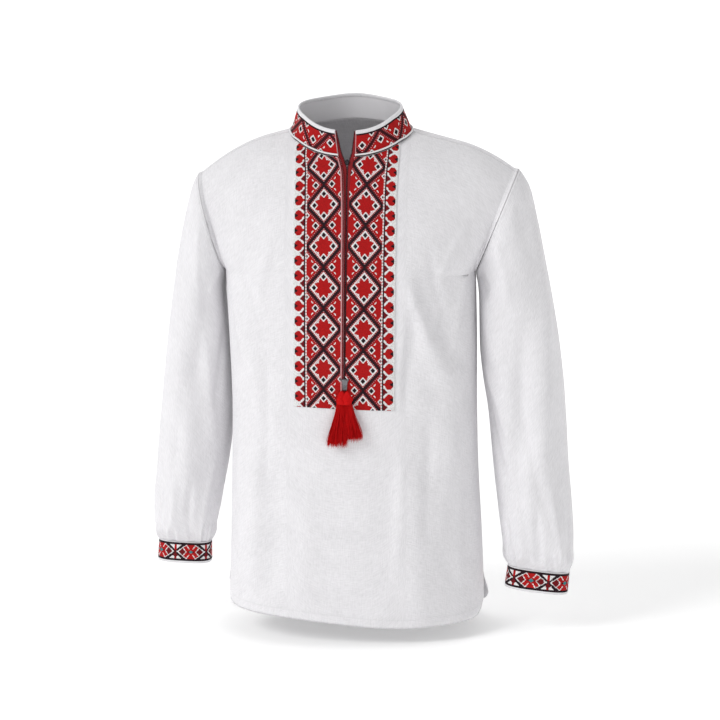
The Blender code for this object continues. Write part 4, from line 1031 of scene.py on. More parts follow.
def back():
    """The back panel, from the seams in front of the shoulders' ridge down to the hem."""
    lines = fine(half_lines(BACK_LINES), SIDE_PARTS)
    _, neck = neck_over(lines)
    seam = -math.sin(math.radians(STEP_DEGREES))
    top = np.arcsin(np.where(np.abs(lines) < NECK_LINE, neck, seam))
    share = fine(np.linspace(0.0, 1.0, BACK_UPPER_ROWS + 1), UPPER_PARTS)[:, None]
    over = np.sin(top + (math.pi / 2 - top) * share)
    below = fine(np.linspace(0.0, 1.0, BACK_LOWER_ROWS + 1), LOWER_PARTS)[1:, None]
    down = np.concatenate([np.zeros(over.shape), below + np.zeros_like(lines)])
    over = np.concatenate([over, np.ones((len(below), len(lines)))])
    across = lines + np.zeros_like(over)
    points, out = body(across, over, down)
    points[..., 1] += SEAM_GAP / 2
    height = body_creases(BACK_CREASES, across, over, down) * calm_near_seams(across, over)
    points = points + height[..., None] * out
    edges = seam_distances(points)
    piece = wall("back_cloth", points, points - SHELL * out, LINEN, edges=edges)
    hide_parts("back")
    stitch_beside(points, out, edges)
    return piece


def stitch_beside(points, out, edges):
    """Topstitching along the hem, 13 mm up, and inside the two side edges, 5 mm in."""
    rows, columns = points.shape[:2]
    row, column = np.arange(rows), np.arange(columns)
    from_hem = edges[..., 1]
    at = np.array([np.interp(HEM_STITCH_IN - HEM_BAND, -from_hem[:, c], row) for c in column])
    low = np.floor(at).astype(int)
    rest = (at - low)[:, None]
    after = np.minimum(low + 1, rows - 1)
    path = points[low, column] * (1.0 - rest) + points[after, column] * rest
    STITCH_PATHS.append((path, out[low, column]))
    shown = slice(SIDE_STITCH_FROM_ROW, int(rows * SIDE_STITCH_SHARE))
    half = columns // 2
    for inward in (column[:half], column[:half:-1]):
        from_side = edges[:, inward, 0]
        at = np.array([np.interp(SIDE_STITCH_IN, from_side[r], np.arange(len(inward))) for r in row])
        low = np.floor(at).astype(int)
        rest = (at - low)[:, None]
        path = points[row, inward[low]] * (1.0 - rest) + points[row, inward[low + 1]] * rest
        STITCH_PATHS.append((path[shown], out[row, inward[low]][shown]))


def between_stages(stage, start, start_run, end, end_run):
    """1 between two stages of a sleeve, easing to 0 over a run at each of them."""
    return smooth_step((stage - start) / start_run) * smooth_step((end - stage) / end_run)


def sleeve(name, table, folds, creases):
    """A tube from the armhole to the cuff with gathers that run out into soft creases."""
    last = len(table) - 1
    rows = last * SLEEVE_ROWS_A_STAGE
    stage = last * np.arange(rows + 1)[:, None] / rows
    turn = np.arange(SLEEVE_COLUMNS_FINE) / SLEEVE_COLUMNS_FINE
    points, out = sleeve_face(table, folds, stage, turn)
    wrapped = [turn - 1, turn, turn + 1]
    height = sum(fold_heights(creases, each, stage, AROUND_LENGTH, STAGE_LENGTH) for each in wrapped)
    start_run, end_run = SLEEVE_CREASE_RUNS
    height = height * between_stages(stage, 0.0, start_run, last, end_run)
    gathered = sum(deep * np.cos(2 * math.pi * count * turn + lag) for count, lag, deep in FINE_GATHERS)
    start_run, end_run = FINE_GATHERS_RUNS
    height = height + gathered * between_stages(stage, FINE_GATHERS_FROM, start_run, last, end_run)
    height = height + SLEEVE_HEAD_FULLNESS * between_stages(stage, *SLEEVE_HEAD_STAGES)
    points = points + height[..., None] * out + armhole_clearance(table)
    down = lengths(points, 0)
    edges = [down + SLEEVE_SEAM_FROM_EDGE, down[-1:] - down + SLEEVE_PLAIN_FROM_CUFF]
    edges = np.stack(edges, axis=-1)
    piece = wall(name + "_cloth", points, points - SHELL * out, LINEN, ring=True, edges=edges)
    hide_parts(name)
    return piece


def cuff_rows(table, turn, share):
    """The cuff's outer face, as on the solid: below the sleeve's last ring and square to it."""
    last = float(len(table) - 1)
    small = 1e-3
    outer_end, inner_end = sleeve_point(table, last, np.array([0.0, 0.5]))
    across = unit(outer_end - inner_end) * np.sign(table[0][0])
    down = np.array([across[2], 0.0, -across[0]])
    seam = sleeve_point(table, last, turn) + armhole_clearance(table)
    around = sleeve_point(table, last, turn + small) - sleeve_point(table, last, turn - small)
    flat = unit(np.cross(around, down))
    from_middle = seam - (outer_end + inner_end) / 2
    flat = flat * np.sign(np.sum(flat * from_middle, axis=-1, keepdims=True))
    share = share[:, None, None]
    return seam + flat * (CUFF_PROUD + share * CUFF_FLARE) + down * (SEAM_GAP + share * CUFF_HEIGHT), flat


def even_turns(count, table):
    """Turns that are the same distance apart round the cuff."""
    turn = np.linspace(0.0, 1.0, CUFF_PATH_STEPS)
    run = lengths(cuff_rows(table, turn, np.array([0.5]))[0], 1)[0]
    return np.interp(np.arange(count) / count * run[-1], run, turn)


def thread_colours(codes, seed):
    """Colour of each face of the stitching from its letter's number, a little uneven throughout."""
    base = np.array(list(THREADS.values()))[codes]
    uneven = np.random.default_rng(seed).uniform(-1.0, 1.0, codes.shape)
    return base * (1.0 + THREAD_UNEVEN * uneven)[..., None]


def pillow(rows, columns):
    """Heights of stitches cut into two by two faces: full in the middle, low between stitches."""
    r = np.arange(2 * rows + 1)[:, None] % 2
    c = np.arange(2 * columns + 1)[None, :] % 2
    return STITCH_HEIGHT * (r * c * 1.0 + (r ^ c) * STITCH_VALLEY)


def face_places(count):
    """Where the middles of the faces lie in a row of stitches, counted in stitches from its start."""
    return np.arange(2 * count) / 2 + FACE_MIDDLE


# The lattice's marks, in stitches. A white diamond's star tapers from its arms to its reach, and
# crosses lie on the middle lines, towards the corners. Flecks, edges and lines are placed by the
# sum of the two distances from a diamond's middle.
LATTICE_HALF = 13
STAR_ARM = 3.6
STAR_TAPER = 0.30
STAR_REACH = 6.3
FLECK_AT = 8.4
FLECK_HALF = 0.5
FLECK_ASIDE = 1.1
FLECK_LONG = 1.3
PINK_EDGE = (8.9, 9.5)
RED_FROM = 10.2
DOTS_FROM = 11.0
CROSS_AT = 7
CROSS_HALF = 1.75
CROSS_RING_WHITE = 2.6
CROSS_RING_RED = 2.5
DARK_FROM_WHITE = 11.5
DARK_FROM_RED = 12.3
PLAIN_DARK_RED_FROM = 11.5


def from_repeat(places, repeat):
    """Distance from the nearest whole repeat."""
    return np.abs((places + repeat / 2) % repeat - repeat / 2)


def diamonds(i, j, red_ground=False):
    """The lattice at a place, in stitches from a diamond's middle, 26 stitches a repeat. White diamonds
    hold a red star with eight points. Between them lie red ones with pale flecks. Every corner of both
    holds a dark cross in a white ring, and dark lines with dotted edges part them."""
    i, j = np.broadcast_arrays(from_repeat(i, 2 * LATTICE_HALF), from_repeat(j, 2 * LATTICE_HALF))
    codes = np.zeros(i.shape, int)
    for half, (x, y) in enumerate(((i, j), (LATTICE_HALF - i, LATTICE_HALF - j))):
        m = x + y
        a, b = np.maximum(x, y), np.minimum(x, y)
        ring = np.abs(a - CROSS_AT) + b
        dots = np.where((2 * x).astype(int) % 2 == 0, P, D)
        if half or red_ground:
            fleck = (np.abs(m - FLECK_AT) <= FLECK_HALF) & (np.abs(x - y - FLECK_ASIDE) <= FLECK_LONG)
            code = np.where(fleck, W, R)
            line = np.where(m >= PLAIN_DARK_RED_FROM, D, dots)
            ring_half, dark_from = CROSS_RING_RED, DARK_FROM_RED
        else:
            star = (b <= STAR_ARM - STAR_TAPER * (a - STAR_ARM)) & (a <= STAR_REACH)
            code = np.where(star, R, W)
            code = np.where((m >= PINK_EDGE[0]) & (m < PINK_EDGE[1]), P, code)
            code = np.where(m >= RED_FROM, R, code)
            line = dots
            ring_half, dark_from = CROSS_RING_WHITE, DARK_FROM_WHITE
        code = np.where((ring <= ring_half) & (m < RED_FROM), W, code)
        code = np.where(ring <= CROSS_HALF, K, code)
        code = np.where(m >= DOTS_FROM, line, code)
        code = np.where(m >= dark_from, K, code)
        codes = np.where((m <= LATTICE_HALF) & (codes == 0) | (m < LATTICE_HALF), code, codes)
    return codes


# The border of flowers, in stitches out from the dark line and along the edge
FLOWER_REPEAT = 10
HEART_AT = 4.1
HEART_HALF_OUT = 3.1
HEART_HALF_ALONG = 3.5
STEM_HALF = 0.9
STEM_LONG = 4
TIP = (4.6, 6.8)
TIP_POINT = 4.2
TIP_OPENS = 0.6
POINT_LONG = 3.1
POINT_TAPER = 1.2


def flowers(outward, row):
    """Border of flowers, ten rows a repeat: red hearts with dark tips on short stems, and dark-red
    points between them. Outward counts stitches from the dark line to the edge."""
    row = from_repeat(row, FLOWER_REPEAT)
    heart = ((outward - HEART_AT) / HEART_HALF_OUT) ** 2 + (row / HEART_HALF_ALONG) ** 2 <= 1.0
    codes = np.where(heart | (row <= STEM_HALF) & (outward < STEM_LONG), R, W)
    tip = (outward >= TIP[0]) & (outward < TIP[1]) & (row <= TIP_OPENS * (outward - TIP_POINT))
    codes = np.where(tip, K, codes)
    return np.where(outward + POINT_TAPER * np.abs(row - FLOWER_REPEAT / 2) <= POINT_LONG, D, codes)


# The chest panel in stitches: columns of each half, and where the chart's bands start after the
# margin beside the slit
LEFT_COLUMNS = 37
RIGHT_COLUMNS = 35
LEFT_MARGIN = (D, P)
PANEL_STITCH = 0.00229
DIAMOND_MIDDLE = 12.5
DOTTED_LINE = 25
DARK_LINE = 25.8
FLOWERS_FROM = 27
FLOWER_ROW = 7.0
FLOWER_CLOSER = 1.026
PANEL_PATH_STEPS = 900
PANEL_PATH_TOP = -0.30
PANEL_PATH_ACROSS = 0.16
STITCH_SUNK = 0.0004
PANEL_BACK_GAP = 0.6


def panel_codes(column, row, margin):
    """Colours of half the chest panel, in stitches: column 0 beside the slit, row 0 at the foot. The
    lattice starts after the margin, then come a dotted line, a dark line and the border of flowers."""
    column = column - len(margin)
    codes = diamonds(column - DIAMOND_MIDDLE, row + 0.5)
    for place, code in enumerate(margin):
        codes = np.where(np.floor(column) == place - len(margin), code, codes)
    codes = np.where(column > DOTTED_LINE, np.where(row.astype(int) % 2 == 0, W, P), codes)
    codes = np.where(column > DARK_LINE, K, codes)
    border = flowers(column - FLOWERS_FROM, (row - FLOWER_ROW) * FLOWER_CLOSER)
    return np.where(column > FLOWERS_FROM, border, codes)


def panel_rows():
    """Over and down of the chest panel's lines of stitches, from its top to its foot at even
    distances along the cloth, and how many stitches high it is."""
    steps = PANEL_PATH_STEPS
    over = np.concatenate([np.linspace(PANEL_PATH_TOP, -1.0, steps), np.full(steps, -1.0)])
    down = np.concatenate([np.zeros(steps), np.linspace(0.0, PANEL_DOWN, steps)])
    path, _ = body(np.full(2 * steps, PANEL_PATH_ACROSS), over, down)
    run = lengths(path[:, None], 0)[:, 0]
    to_foot = run[-1] - run
    rows = int(to_foot[0] / PANEL_STITCH)
    at = np.arange(2 * rows, -1, -1) * PANEL_STITCH / 2
    over, down = (np.interp(at, to_foot[::-1], values[::-1])[:, None] for values in (over, down))
    return over, down, at, rows


def plastron():
    """The chest panel: rows of stitches at even distances along the cloth, two halves and a foot."""
    left = -np.linspace(PANEL_EDGE, SLIT_LINE, 2 * LEFT_COLUMNS + 1)
    lines = np.concatenate([left, np.linspace(SLIT_LINE, PANEL_EDGE, 2 * RIGHT_COLUMNS + 1)])
    over, down, at, rows = panel_rows()
    over, down = over + np.zeros_like(lines), down + np.zeros_like(lines)
    across = lines + slit_shift(lines, body_plain(lines, over, down)[..., 2])
    neck = neck_over(across)[0]
    beyond = over > neck
    points, out = body(across, np.minimum(over, neck), down)
    points[..., 1] -= SEAM_GAP / 2
    row = rows - face_places(rows)[:, None]
    left_codes = panel_codes(LEFT_COLUMNS - face_places(LEFT_COLUMNS)[None, :], row, LEFT_MARGIN)
    right_codes = panel_codes(face_places(RIGHT_COLUMNS)[None, :], row, ())
    codes = np.concatenate([left_codes, np.full((2 * rows, 1), R), right_codes], axis=1)
    height = np.concatenate([pillow(rows, LEFT_COLUMNS), pillow(rows, RIGHT_COLUMNS)], axis=1)
    lift = SEAM_GAP + PANEL_CLOTH - STITCH_SUNK + height
    outer = points + lift[..., None] * out
    keep = ~(beyond[1:, 1:] & beyond[1:, :-1])
    slit_foot = PANEL_STITCH * round((SLIT_FOOT_Z - PANEL_FOOT_Z) / PANEL_STITCH)
    slit_row = int(np.argmin(np.abs(at - slit_foot)))
    keep[:slit_row, 2 * LEFT_COLUMNS] = False
    inner = points + SEAM_GAP * PANEL_BACK_GAP * out
    piece = wall("plastron_cloth", outer, inner, STITCHED, keep, tint=thread_colours(codes, seed=11))
    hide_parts("plastron")
    return piece


# The collar in stitches: its rows, and how far from each front end the first diamond lies
COLLAR_STITCH = 0.00220
COLLAR_ROWS = 14
COLLAR_PATH_STEPS = 1600
COLLAR_MEASURE_STEPS = 400
BINDING_STEPS = 260
COLLAR_RIGHT_PHASE = 17
COLLAR_LEFT_PHASE = 4
COLLAR_STITCH_SUNK = 0.0003
BAND_BACK_IN = 0.0002

# The binding's rounded section: shares of its height down from the rim, and how far each bulges
BINDING_SHARES = (1.0, 0.86, 0.5, 0.14, 0.0)
BINDING_BULGE = (0.0, 0.0003, 0.0005, 0.0002, -0.0005)


def collar_line(height, shares):
    """Points of the collar's outer face at one height, at even shares from its right end round."""
    share = height / COLLAR_HEIGHT
    width = collar_half_width(share)
    right = math.asin(collar_end(1.0, share) / width)
    left = 2 * math.pi - math.asin(collar_end(-1.0, share) / width)
    turn = np.linspace(right, left, COLLAR_PATH_STEPS)
    level = np.full(len(turn), height)
    run = lengths(collar_face(turn, level)[:, None], 0)[:, 0]
    turn = np.interp(shares * run[-1], run, turn)
    level = np.full(len(turn), height)
    return collar_face(turn, level), collar_out(turn, level), turn


def collar_grid(heights, shares):
    """Points and outward directions of the collar's outer face, in rows at the heights given."""
    grid = [collar_line(height, shares) for height in heights]
    return tuple(np.stack([line[part] for line in grid]) for part in (0, 1))


def collar():
    """The standing band: 14 rows of stitches, zigzag lines of the lattice between dark borders."""
    rows = COLLAR_ROWS
    plain = COLLAR_HEIGHT - BINDING_HEIGHT
    base, _, _ = collar_line(plain / 2, np.linspace(0.0, 1.0, COLLAR_MEASURE_STEPS))
    around = lengths(base[:, None], 0)[-1, 0]
    columns = int(around / COLLAR_STITCH)
    heights = plain * np.arange(2 * rows, -1, -1) / (2 * rows)
    outer, out = collar_grid(heights, np.linspace(0.0, 1.0, 2 * columns + 1))
    row = rows - face_places(rows)[:, None]
    column = face_places(columns)[None, :]
    from_end = np.minimum(column, columns - column)
    phase = np.where(column < columns / 2, COLLAR_RIGHT_PHASE, COLLAR_LEFT_PHASE) + 0.5
    codes = diamonds(from_end - phase, row - 0.5, red_ground=True)
    codes = np.where((row < 1) | (row > rows - 1), K, codes)
    codes = np.where(from_end < 0.5, P, codes)
    face = outer + (pillow(rows, columns) - COLLAR_STITCH_SUNK)[..., None] * out
    back_face = outer - (COLLAR_CLOTH - BAND_BACK_IN) * out
    piece = wall("collar_cloth", face, back_face, STITCHED, tint=thread_colours(codes, seed=12))
    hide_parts("collar")
    return piece


def binding():
    """The white strip over the collar's top edge, a little rounded."""
    heights = COLLAR_HEIGHT - BINDING_HEIGHT * np.array(BINDING_SHARES)
    bulge = np.array(BINDING_BULGE)[::-1, None, None]
    points, out = collar_grid(heights[::-1], np.linspace(0.0, 1.0, BINDING_STEPS))
    points = points + bulge * out
    piece = wall("binding_cloth", points, points - (COLLAR_CLOTH + 2 * bulge) * out, LINEN_TRIM)
    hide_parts("collar_binding")
    return piece


# The cord along the collar's foot: sides round, points along, and how its ends close
CORD_SIDES = 10
CORD_STEPS = 420
CORD_END_STEP = 0.3
CORD_END_SIZE = 0.05
NEARLY_UP = np.array([0.01, 0.01, 1.01])


def piping():
    """The white cord along the collar's foot: circles square to its path. Its ends close a short
    way beyond the collar's."""
    path, out, _ = collar_line(PIPING_RISE, np.linspace(0.0, 1.0, CORD_STEPS))
    path = path + (PIPING_RADIUS + SEAM_GAP) * out
    before = path[0] + (path[0] - path[1]) * CORD_END_STEP
    after = path[-1] + (path[-1] - path[-2]) * CORD_END_STEP
    path = np.concatenate([[before], path, [after]])
    ahead = unit(np.gradient(path, axis=0))
    side = unit(np.cross(ahead, NEARLY_UP))
    up = np.cross(side, ahead)
    angle = 2 * math.pi * np.arange(CORD_SIDES)[None, :, None] / CORD_SIDES
    ring = np.cos(angle) * side[:, None] + np.sin(angle) * up[:, None]
    size = np.full(len(path), PIPING_RADIUS)
    size[[0, -1]] = PIPING_RADIUS * CORD_END_SIZE
    points = path[:, None] + ring * size[:, None, None]
    faces = quads(len(path), CORD_SIDES, True).reshape(-1, 4)[:, ::-1]
    piece = make("piping_cord", points, faces, WHITE_THREAD)
    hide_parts("collar_piping")


# The cuff's band: rows and columns of stitches, where it starts and how high it is, and how far
# round the first flower lies
CUFF_ROWS = 13
CUFF_COLUMNS = 96
CUFF_TOP = 0.0014
CUFF_BAND = 0.0285
CUFF_PHASE = {"cuff_left": 29.0, "cuff_right": 27.4}
CUFF_EDGE_IN = 0.0003
CUFF_FOLD = 0.0006
CUFF_THREAD_OUT = 0.0004

# The cuff's chart, in stitches: i round from a flower's middle, j up or down from the band's, and
# c round from where the bars cross. Each slanted mark has a slope and a width that may grow.
CUFF_PERIOD = 20.6
PETALS_TO = 5.9
PETAL_CUT_SLOPE = 0.62
PETAL_CUT_HALF = 0.33
PETAL_CUT_FROM = 1.8
PETAL_CUT_TO = 3.4
SIDE_LEAF_AT = 5.8
SIDE_LEAF_SLOPE = 0.8
SIDE_LEAF_EDGE = 3.0
SIDE_LEAF = 2.4
EYE_BAR = (2.2, 0.6)
EYE = 1.4
BAR_SLOPE = 1.1
BAR_EDGE = (1.4, 0.15)
BAR_DARK = (0.7, 0.17)
BUD = (0.8, 1.0)
SEED_DOWN = 2.6
SEED_SLOPE = 0.8
SEED = 1.7
CROSSING = 0.8
BORDER_FROM = 5.2


def cuff_codes(i, j):
    """Flower and crossed bars of flat stitches. i counts stitches round from a flower's middle, j up
    from the band's middle. Bars cross half a repeat away, with a diamond between them and the flower."""
    i, up = np.broadcast_arrays(from_repeat(i, CUFF_PERIOD), j)
    j = np.abs(up)
    c = CUFF_PERIOD / 2 - i
    leaf = np.abs(i - SIDE_LEAF_AT) + SIDE_LEAF_SLOPE * j
    from_bar = np.abs(c - BAR_SLOPE * j)
    petal_cut = (j >= PETAL_CUT_FROM) & (i <= PETAL_CUT_TO)
    marks = (
        (i <= PETALS_TO, R),
        ((np.abs(i - PETAL_CUT_SLOPE * j) <= PETAL_CUT_HALF) & petal_cut, W),
        (leaf <= SIDE_LEAF_EDGE, W),
        (leaf <= SIDE_LEAF, D),
        ((i <= EYE_BAR[0]) & (j <= EYE_BAR[1]), K),
        (i + j <= EYE, T),
        (from_bar <= BAR_EDGE[0] + BAR_EDGE[1] * j, W),
        (from_bar <= BAR_DARK[0] + BAR_DARK[1] * j, K),
        ((c <= BUD[0]) & (j >= BUD[1]), R),
        (c + SEED_SLOPE * np.abs(up + SEED_DOWN) <= SEED, D),
        (c + j <= CROSSING, D),
        (j >= BORDER_FROM, K),
    )
    codes = np.full(i.shape, W)
    for there, code in marks:
        codes = np.where(there, code, codes)
    return codes


def cuff(name, table):
    """The embroidered band: plain linen above and below 13 rows of stitches all the way round."""
    turn = even_turns(2 * CUFF_COLUMNS, table)
    foot = CUFF_TOP + CUFF_BAND
    above = [0.0, CUFF_TOP / 2, CUFF_TOP - CUFF_EDGE_IN]
    band = [CUFF_TOP + CUFF_BAND / CUFF_ROWS / 2 * step for step in range(2 * CUFF_ROWS + 1)]
    below = [foot + CUFF_FOLD, (foot + CUFF_HEIGHT) / 2, CUFF_HEIGHT - CUFF_FOLD, CUFF_HEIGHT]
    depths = np.array(above + band + below)
    outer, flat = cuff_rows(table, turn, depths / CUFF_HEIGHT)
    row = CUFF_ROWS / 2 - face_places(CUFF_ROWS)[:, None]
    column = face_places(CUFF_COLUMNS)[None, :] - 2 * FACE_MIDDLE
    stitched = thread_colours(cuff_codes(column - CUFF_PHASE[name], row), seed=13)
    plain = [np.tile(LINEN_COLOUR, (len(part), 2 * CUFF_COLUMNS, 1)) for part in (above, below)]
    colours = np.concatenate([plain[0], stitched, plain[1]])
    height = np.zeros((len(depths), 2 * CUFF_COLUMNS))
    height[len(above):-len(below)] = pillow(CUFF_ROWS, CUFF_COLUMNS)[:, :-1]
    height[[1, 2, -3, -2]] = CUFF_EDGE_IN
    height[[0, -1]] = -CUFF_EDGE_IN
    face = outer + height[..., None] * flat
    back_face = outer - (CUFF_CLOTH - BAND_BACK_IN) * flat
    piece = wall(name + "_cloth", face, back_face, STITCHED, ring=True, tint=colours)
    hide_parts(name)
    round_out = np.concatenate([flat, flat[:1]])
    line = np.concatenate([outer[1], outer[1][:1]]) + CUFF_THREAD_OUT * round_out
    STITCH_PATHS.append((line, round_out))
    return piece


# Zip: points down the slit and up the collar's end, places across a tape, and the coil's turns
TAPE_STEPS = 60
TAPE_STEPS_ABOVE = 14
TAPE_CUT = (0.0, 0.25, 0.5, 0.75, 1.0)
COIL_PITCH = 0.0016
COIL_LENGTH = 0.0022
COIL_RADIUS = 0.00055
COIL_OUT = 0.0002
COIL_PAST_SLIDER = 0.004


def tape_below(side, cut):
    """The tape behind the slit's edge, in rows from the neck down."""
    top = math.asin(-(NECK_MIDDLE + NECK_REACH_FRONT))
    upper = np.sin(np.linspace(top, -math.pi / 2, TAPE_STEPS))
    over = np.concatenate([upper, np.full(TAPE_STEPS - 1, -1.0)])
    down = np.concatenate([np.zeros(TAPE_STEPS), np.linspace(0.0, SLIT_DOWN, TAPE_STEPS)[1:]])
    heights = body_plain(0.0, over, down)[..., 2]
    left, right = slit_value("left", heights), slit_value("right", heights)
    edge = right if side > 0.0 else left
    inner = (left + right) / 2 + side * np.maximum(slit_value("tape_edge", heights), SEAM_GAP)
    across = inner[:, None] + (edge + side * TAPE_WIDTH - inner)[:, None] * cut
    behind, out = body(across / HALF_CHEST, over[:, None], down[:, None])
    return behind - (CLOTH + TAPE_GAP) * out, out


def tape_above(side, cut):
    """The tape inside the collar's end, in rows from the rim down."""
    rows, rows_out = [], []
    for height in np.linspace(TAPE_HEIGHTS[0], TAPE_HEIGHTS[-1], TAPE_STEPS_ABOVE):
        share = height / COLLAR_HEIGHT
        shows = TAPE_SHOWS + (TAPE_SHOWS_AT_RIM - TAPE_SHOWS) * share
        places = side * (collar_end(side, share) - shows + (shows + TAPE_WIDTH) * cut)
        turn = np.arcsin(places / collar_half_width(share))
        level = np.full(len(cut), height)
        out = collar_out(turn, level)
        rows.append(collar_face(turn, level) - (COLLAR_CLOTH + 2 * SEAM_GAP) * out)
        rows_out.append(out)
    return np.stack(rows), np.stack(rows_out)


def zip_side(name, side):
    """One tape behind the slit's edge and on up inside the collar's end, and its inner edge."""
    cut = np.array(TAPE_CUT)
    parts = (tape_above(side, cut), tape_below(side, cut))
    face, out = (np.concatenate([part[k] for part in parts]) for k in range(2))
    piece = wall(name + "_cloth", face, face - TAPE_CLOTH * out, TAPE)
    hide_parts(name)
    return piece, face[:, 0], out[:, 0]


def at_even_steps(path, out, pitch):
    """Points, directions ahead and outward directions at even steps along a path."""
    run = lengths(path[:, None], 0)[:, 0]
    count = max(2, int(run[-1] / pitch))
    at = (np.arange(count) + 0.5) * run[-1] / count

    def along(values, places):
        return np.stack([np.interp(places, run, values[:, k]) for k in range(3)], axis=-1)

    points = along(path, at)
    return points, unit(points - along(path, at - pitch / 4)), unit(along(out, at))


def joined(rows):
    """The points, directions ahead and outward directions of several paths in one."""
    return (np.concatenate([row[k] for row in rows]) for k in range(3))


BEAD_RINGS = (-0.3, 0.3)


def beads(name, places, aheads, outs, length, radius, look):
    """Many small spindles joined in one piece. Each has a tip (point 0), two rings of four (1 to 4
    and 5 to 8) and the other tip (9)."""
    side = unit(np.cross(aheads, outs))
    ring = np.array([(1, 0), (0, 1), (-1, 0), (0, -1)], float)
    parts = [places - aheads * length / 2]
    for along in BEAD_RINGS:
        for x, y in ring:
            parts.append(places + aheads * length * along + radius * (x * side + y * outs))
    parts.append(places + aheads * length / 2)
    points = np.stack(parts, axis=1)
    faces = []
    for k in range(4):
        after = (k + 1) % 4
        faces += [(0, 1 + after, 1 + k), (1 + k, 1 + after, 5 + after)]
        faces += [(1 + k, 5 + after, 5 + k), (9, 5 + k, 5 + after)]
    faces = np.array(faces)[:, ::-1]
    every = (np.arange(len(places))[:, None, None] * 10 + faces).reshape(-1, 3)
    flat = points.reshape(-1, 3)
    a, b, c = (flat[every[:, k]] for k in range(3))
    if np.sum(np.cross(b - a, c - a) * (a - np.repeat(places, len(faces), axis=0))) < 0.0:
        every = every[:, ::-1]
    return make(name, flat, every, look)


def zip_closure():
    """Both tapes, and the coil's turns along their inner edges below the slider and above it."""
    pieces, rows = [], []
    for name, side in (("zip_tape_left", -1.0), ("zip_tape_right", 1.0)):
        piece, edge, out = zip_side(name, side)
        pieces.append(piece)
        below = edge[:, 2] < SLIDER_Z - COIL_PAST_SLIDER
        for part in (below, ~below):
            rows.append(at_even_steps(edge[part] + out[part] * COIL_OUT, out[part], COIL_PITCH))
    places, aheads, outs = joined(rows)
    beads("zip_coil_turns", places, unit(np.cross(aheads, outs)), outs, COIL_LENGTH, COIL_RADIUS, COIL)
    return pieces


# Small metal blocks: from back to front, a share of the depth and one of the outline's size
BLOCK_PROFILE = (
    (0.0, 0.01),
    (0.0, 0.86),
    (0.08, 0.95),
    (0.35, 1.0),
    (0.75, 0.94),
    (0.92, 0.80),
    (1.0, 0.55),
    (1.0, 0.01),
)
BLOCK_CORNER = 0.6
BLOCK_SIDES = 40


def rounded_block(name, middle, half, look, top_width=1.0):
    """A small block with round corners: rings of one outline from its back to its front."""
    angle = 2 * math.pi * np.arange(BLOCK_SIDES) / BLOCK_SIDES
    x = np.sign(np.cos(angle)) * np.abs(np.cos(angle)) ** BLOCK_CORNER
    z = np.sign(np.sin(angle)) * np.abs(np.sin(angle)) ** BLOCK_CORNER
    wide = np.where(z > 0.0, 1.0 + (top_width - 1.0) * z, 1.0)
    rings = []
    for depth, size in BLOCK_PROFILE:
        y = np.full(BLOCK_SIDES, -depth * half[2])
        rings.append(np.stack([x * wide * half[0] * size, y, z * half[1] * size], axis=-1) + middle)
    faces = quads(len(rings), BLOCK_SIDES, True).reshape(-1, 4)
    return make(name, np.stack(rings), faces, look)


# The cap's relief of small grains, and the two prongs at its top, from its middle
RELIEF_X = (-0.0018, 0.0, 0.0018)
RELIEF_Z = (-0.006, -0.0035, -0.001)
RELIEF_GRAIN = (0.0024, 0.0007)
PRONG_X = 0.0046
PRONG_Z = 0.0072
PRONG_BACK = 0.0008
PRONG_LEAN = 0.35
PRONG = (0.0062, 0.0011)


def slider():
    """The small dark slider at the foot of the neck's V."""
    x = float(slit_value("left", SLIDER_Z) + slit_value("right", SLIDER_Z)) / 2
    y = front_y(SLIDER_Z) + CLOTH + SEAM_GAP - SLIDER_CLEAR
    piece = rounded_block("slider_metal", np.array([x, y, SLIDER_Z]), SLIDER_HALF, DARK_METAL)
    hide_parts("zip_slider")


def end_cap():
    """The grey cap at the slit's foot, with its relief and prongs."""
    y = front_y(CAP_Z) - PANEL_CLOTH - 3 * SEAM_GAP
    piece = rounded_block("cap_metal_piece", np.array([0.0, y, CAP_Z]), CAP_HALF, CAP_METAL, CAP_TOP_WIDTH)
    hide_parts("end_cap")
    face_y = y - CAP_HALF[2]
    relief = np.array([(x, face_y, CAP_Z + z) for z in RELIEF_Z for x in RELIEF_X])
    prongs = np.array([(side * PRONG_X, face_y + PRONG_BACK, CAP_Z + PRONG_Z) for side in (-1.0, 1.0)])
    upright = np.tile((0.0, 0.0, 1.0), (len(relief), 1))
    outs = np.tile((0.0, -1.0, 0.0), (len(relief), 1))
    leaning = unit(np.array([(side * PRONG_LEAN, 0.0, 1.0) for side in (-1.0, 1.0)]))
    beads("cap_relief", relief, upright, outs, *RELIEF_GRAIN, CAP_METAL)
    beads("cap_prongs", prongs, leaning, outs[:2], *PRONG, CAP_METAL)


# Tassels: the wound head's size, points round and up it, its lumps and its turns of thread
HEAD_RINGS = 25
HEAD_SIDES = 32
HEAD_HALF_WIDTH = 0.0072
HEAD_HALF_DEPTH = 0.0050
HEAD_TOP = -0.3768
HEAD_TOWARDS_MIDDLE = 0.75
HEAD_PLAINNESS = 0.55
HEAD_LUMPS = (0.08, 0.07)
HEAD_WINDING = 0.035
HEAD_ROUNDS_OVER = 0.55
HEAD_CLOSED_BELOW = 0.02
HEAD_FOOT_SIZE = 0.05

# Its threads: how many, points along each, and how far they wave, open and end unevenly. What
# the skirt gains at its left, at its right and towards the panel is given for each tassel.
TASSEL_THREADS = 240
THREAD_RINGS = 9
THREAD_SIDES = 3
THREAD_RADIUS = 0.00040
THREAD_TIP = 0.1
THREAD_ENDS = 0.0022
THREAD_WAVE = 0.0011
THREAD_START_INSIDE = 0.001
SKIRT_TOP_WIDTH = 1.1
SKIRT_TOP_DEPTH = 0.8
SKIRT_DEPTH = 0.9
SKIRT_EXTRA = {"tassel_left": (0.0000, 0.0065, 0.0), "tassel_right": (-0.0050, 0.0040, -0.0022)}


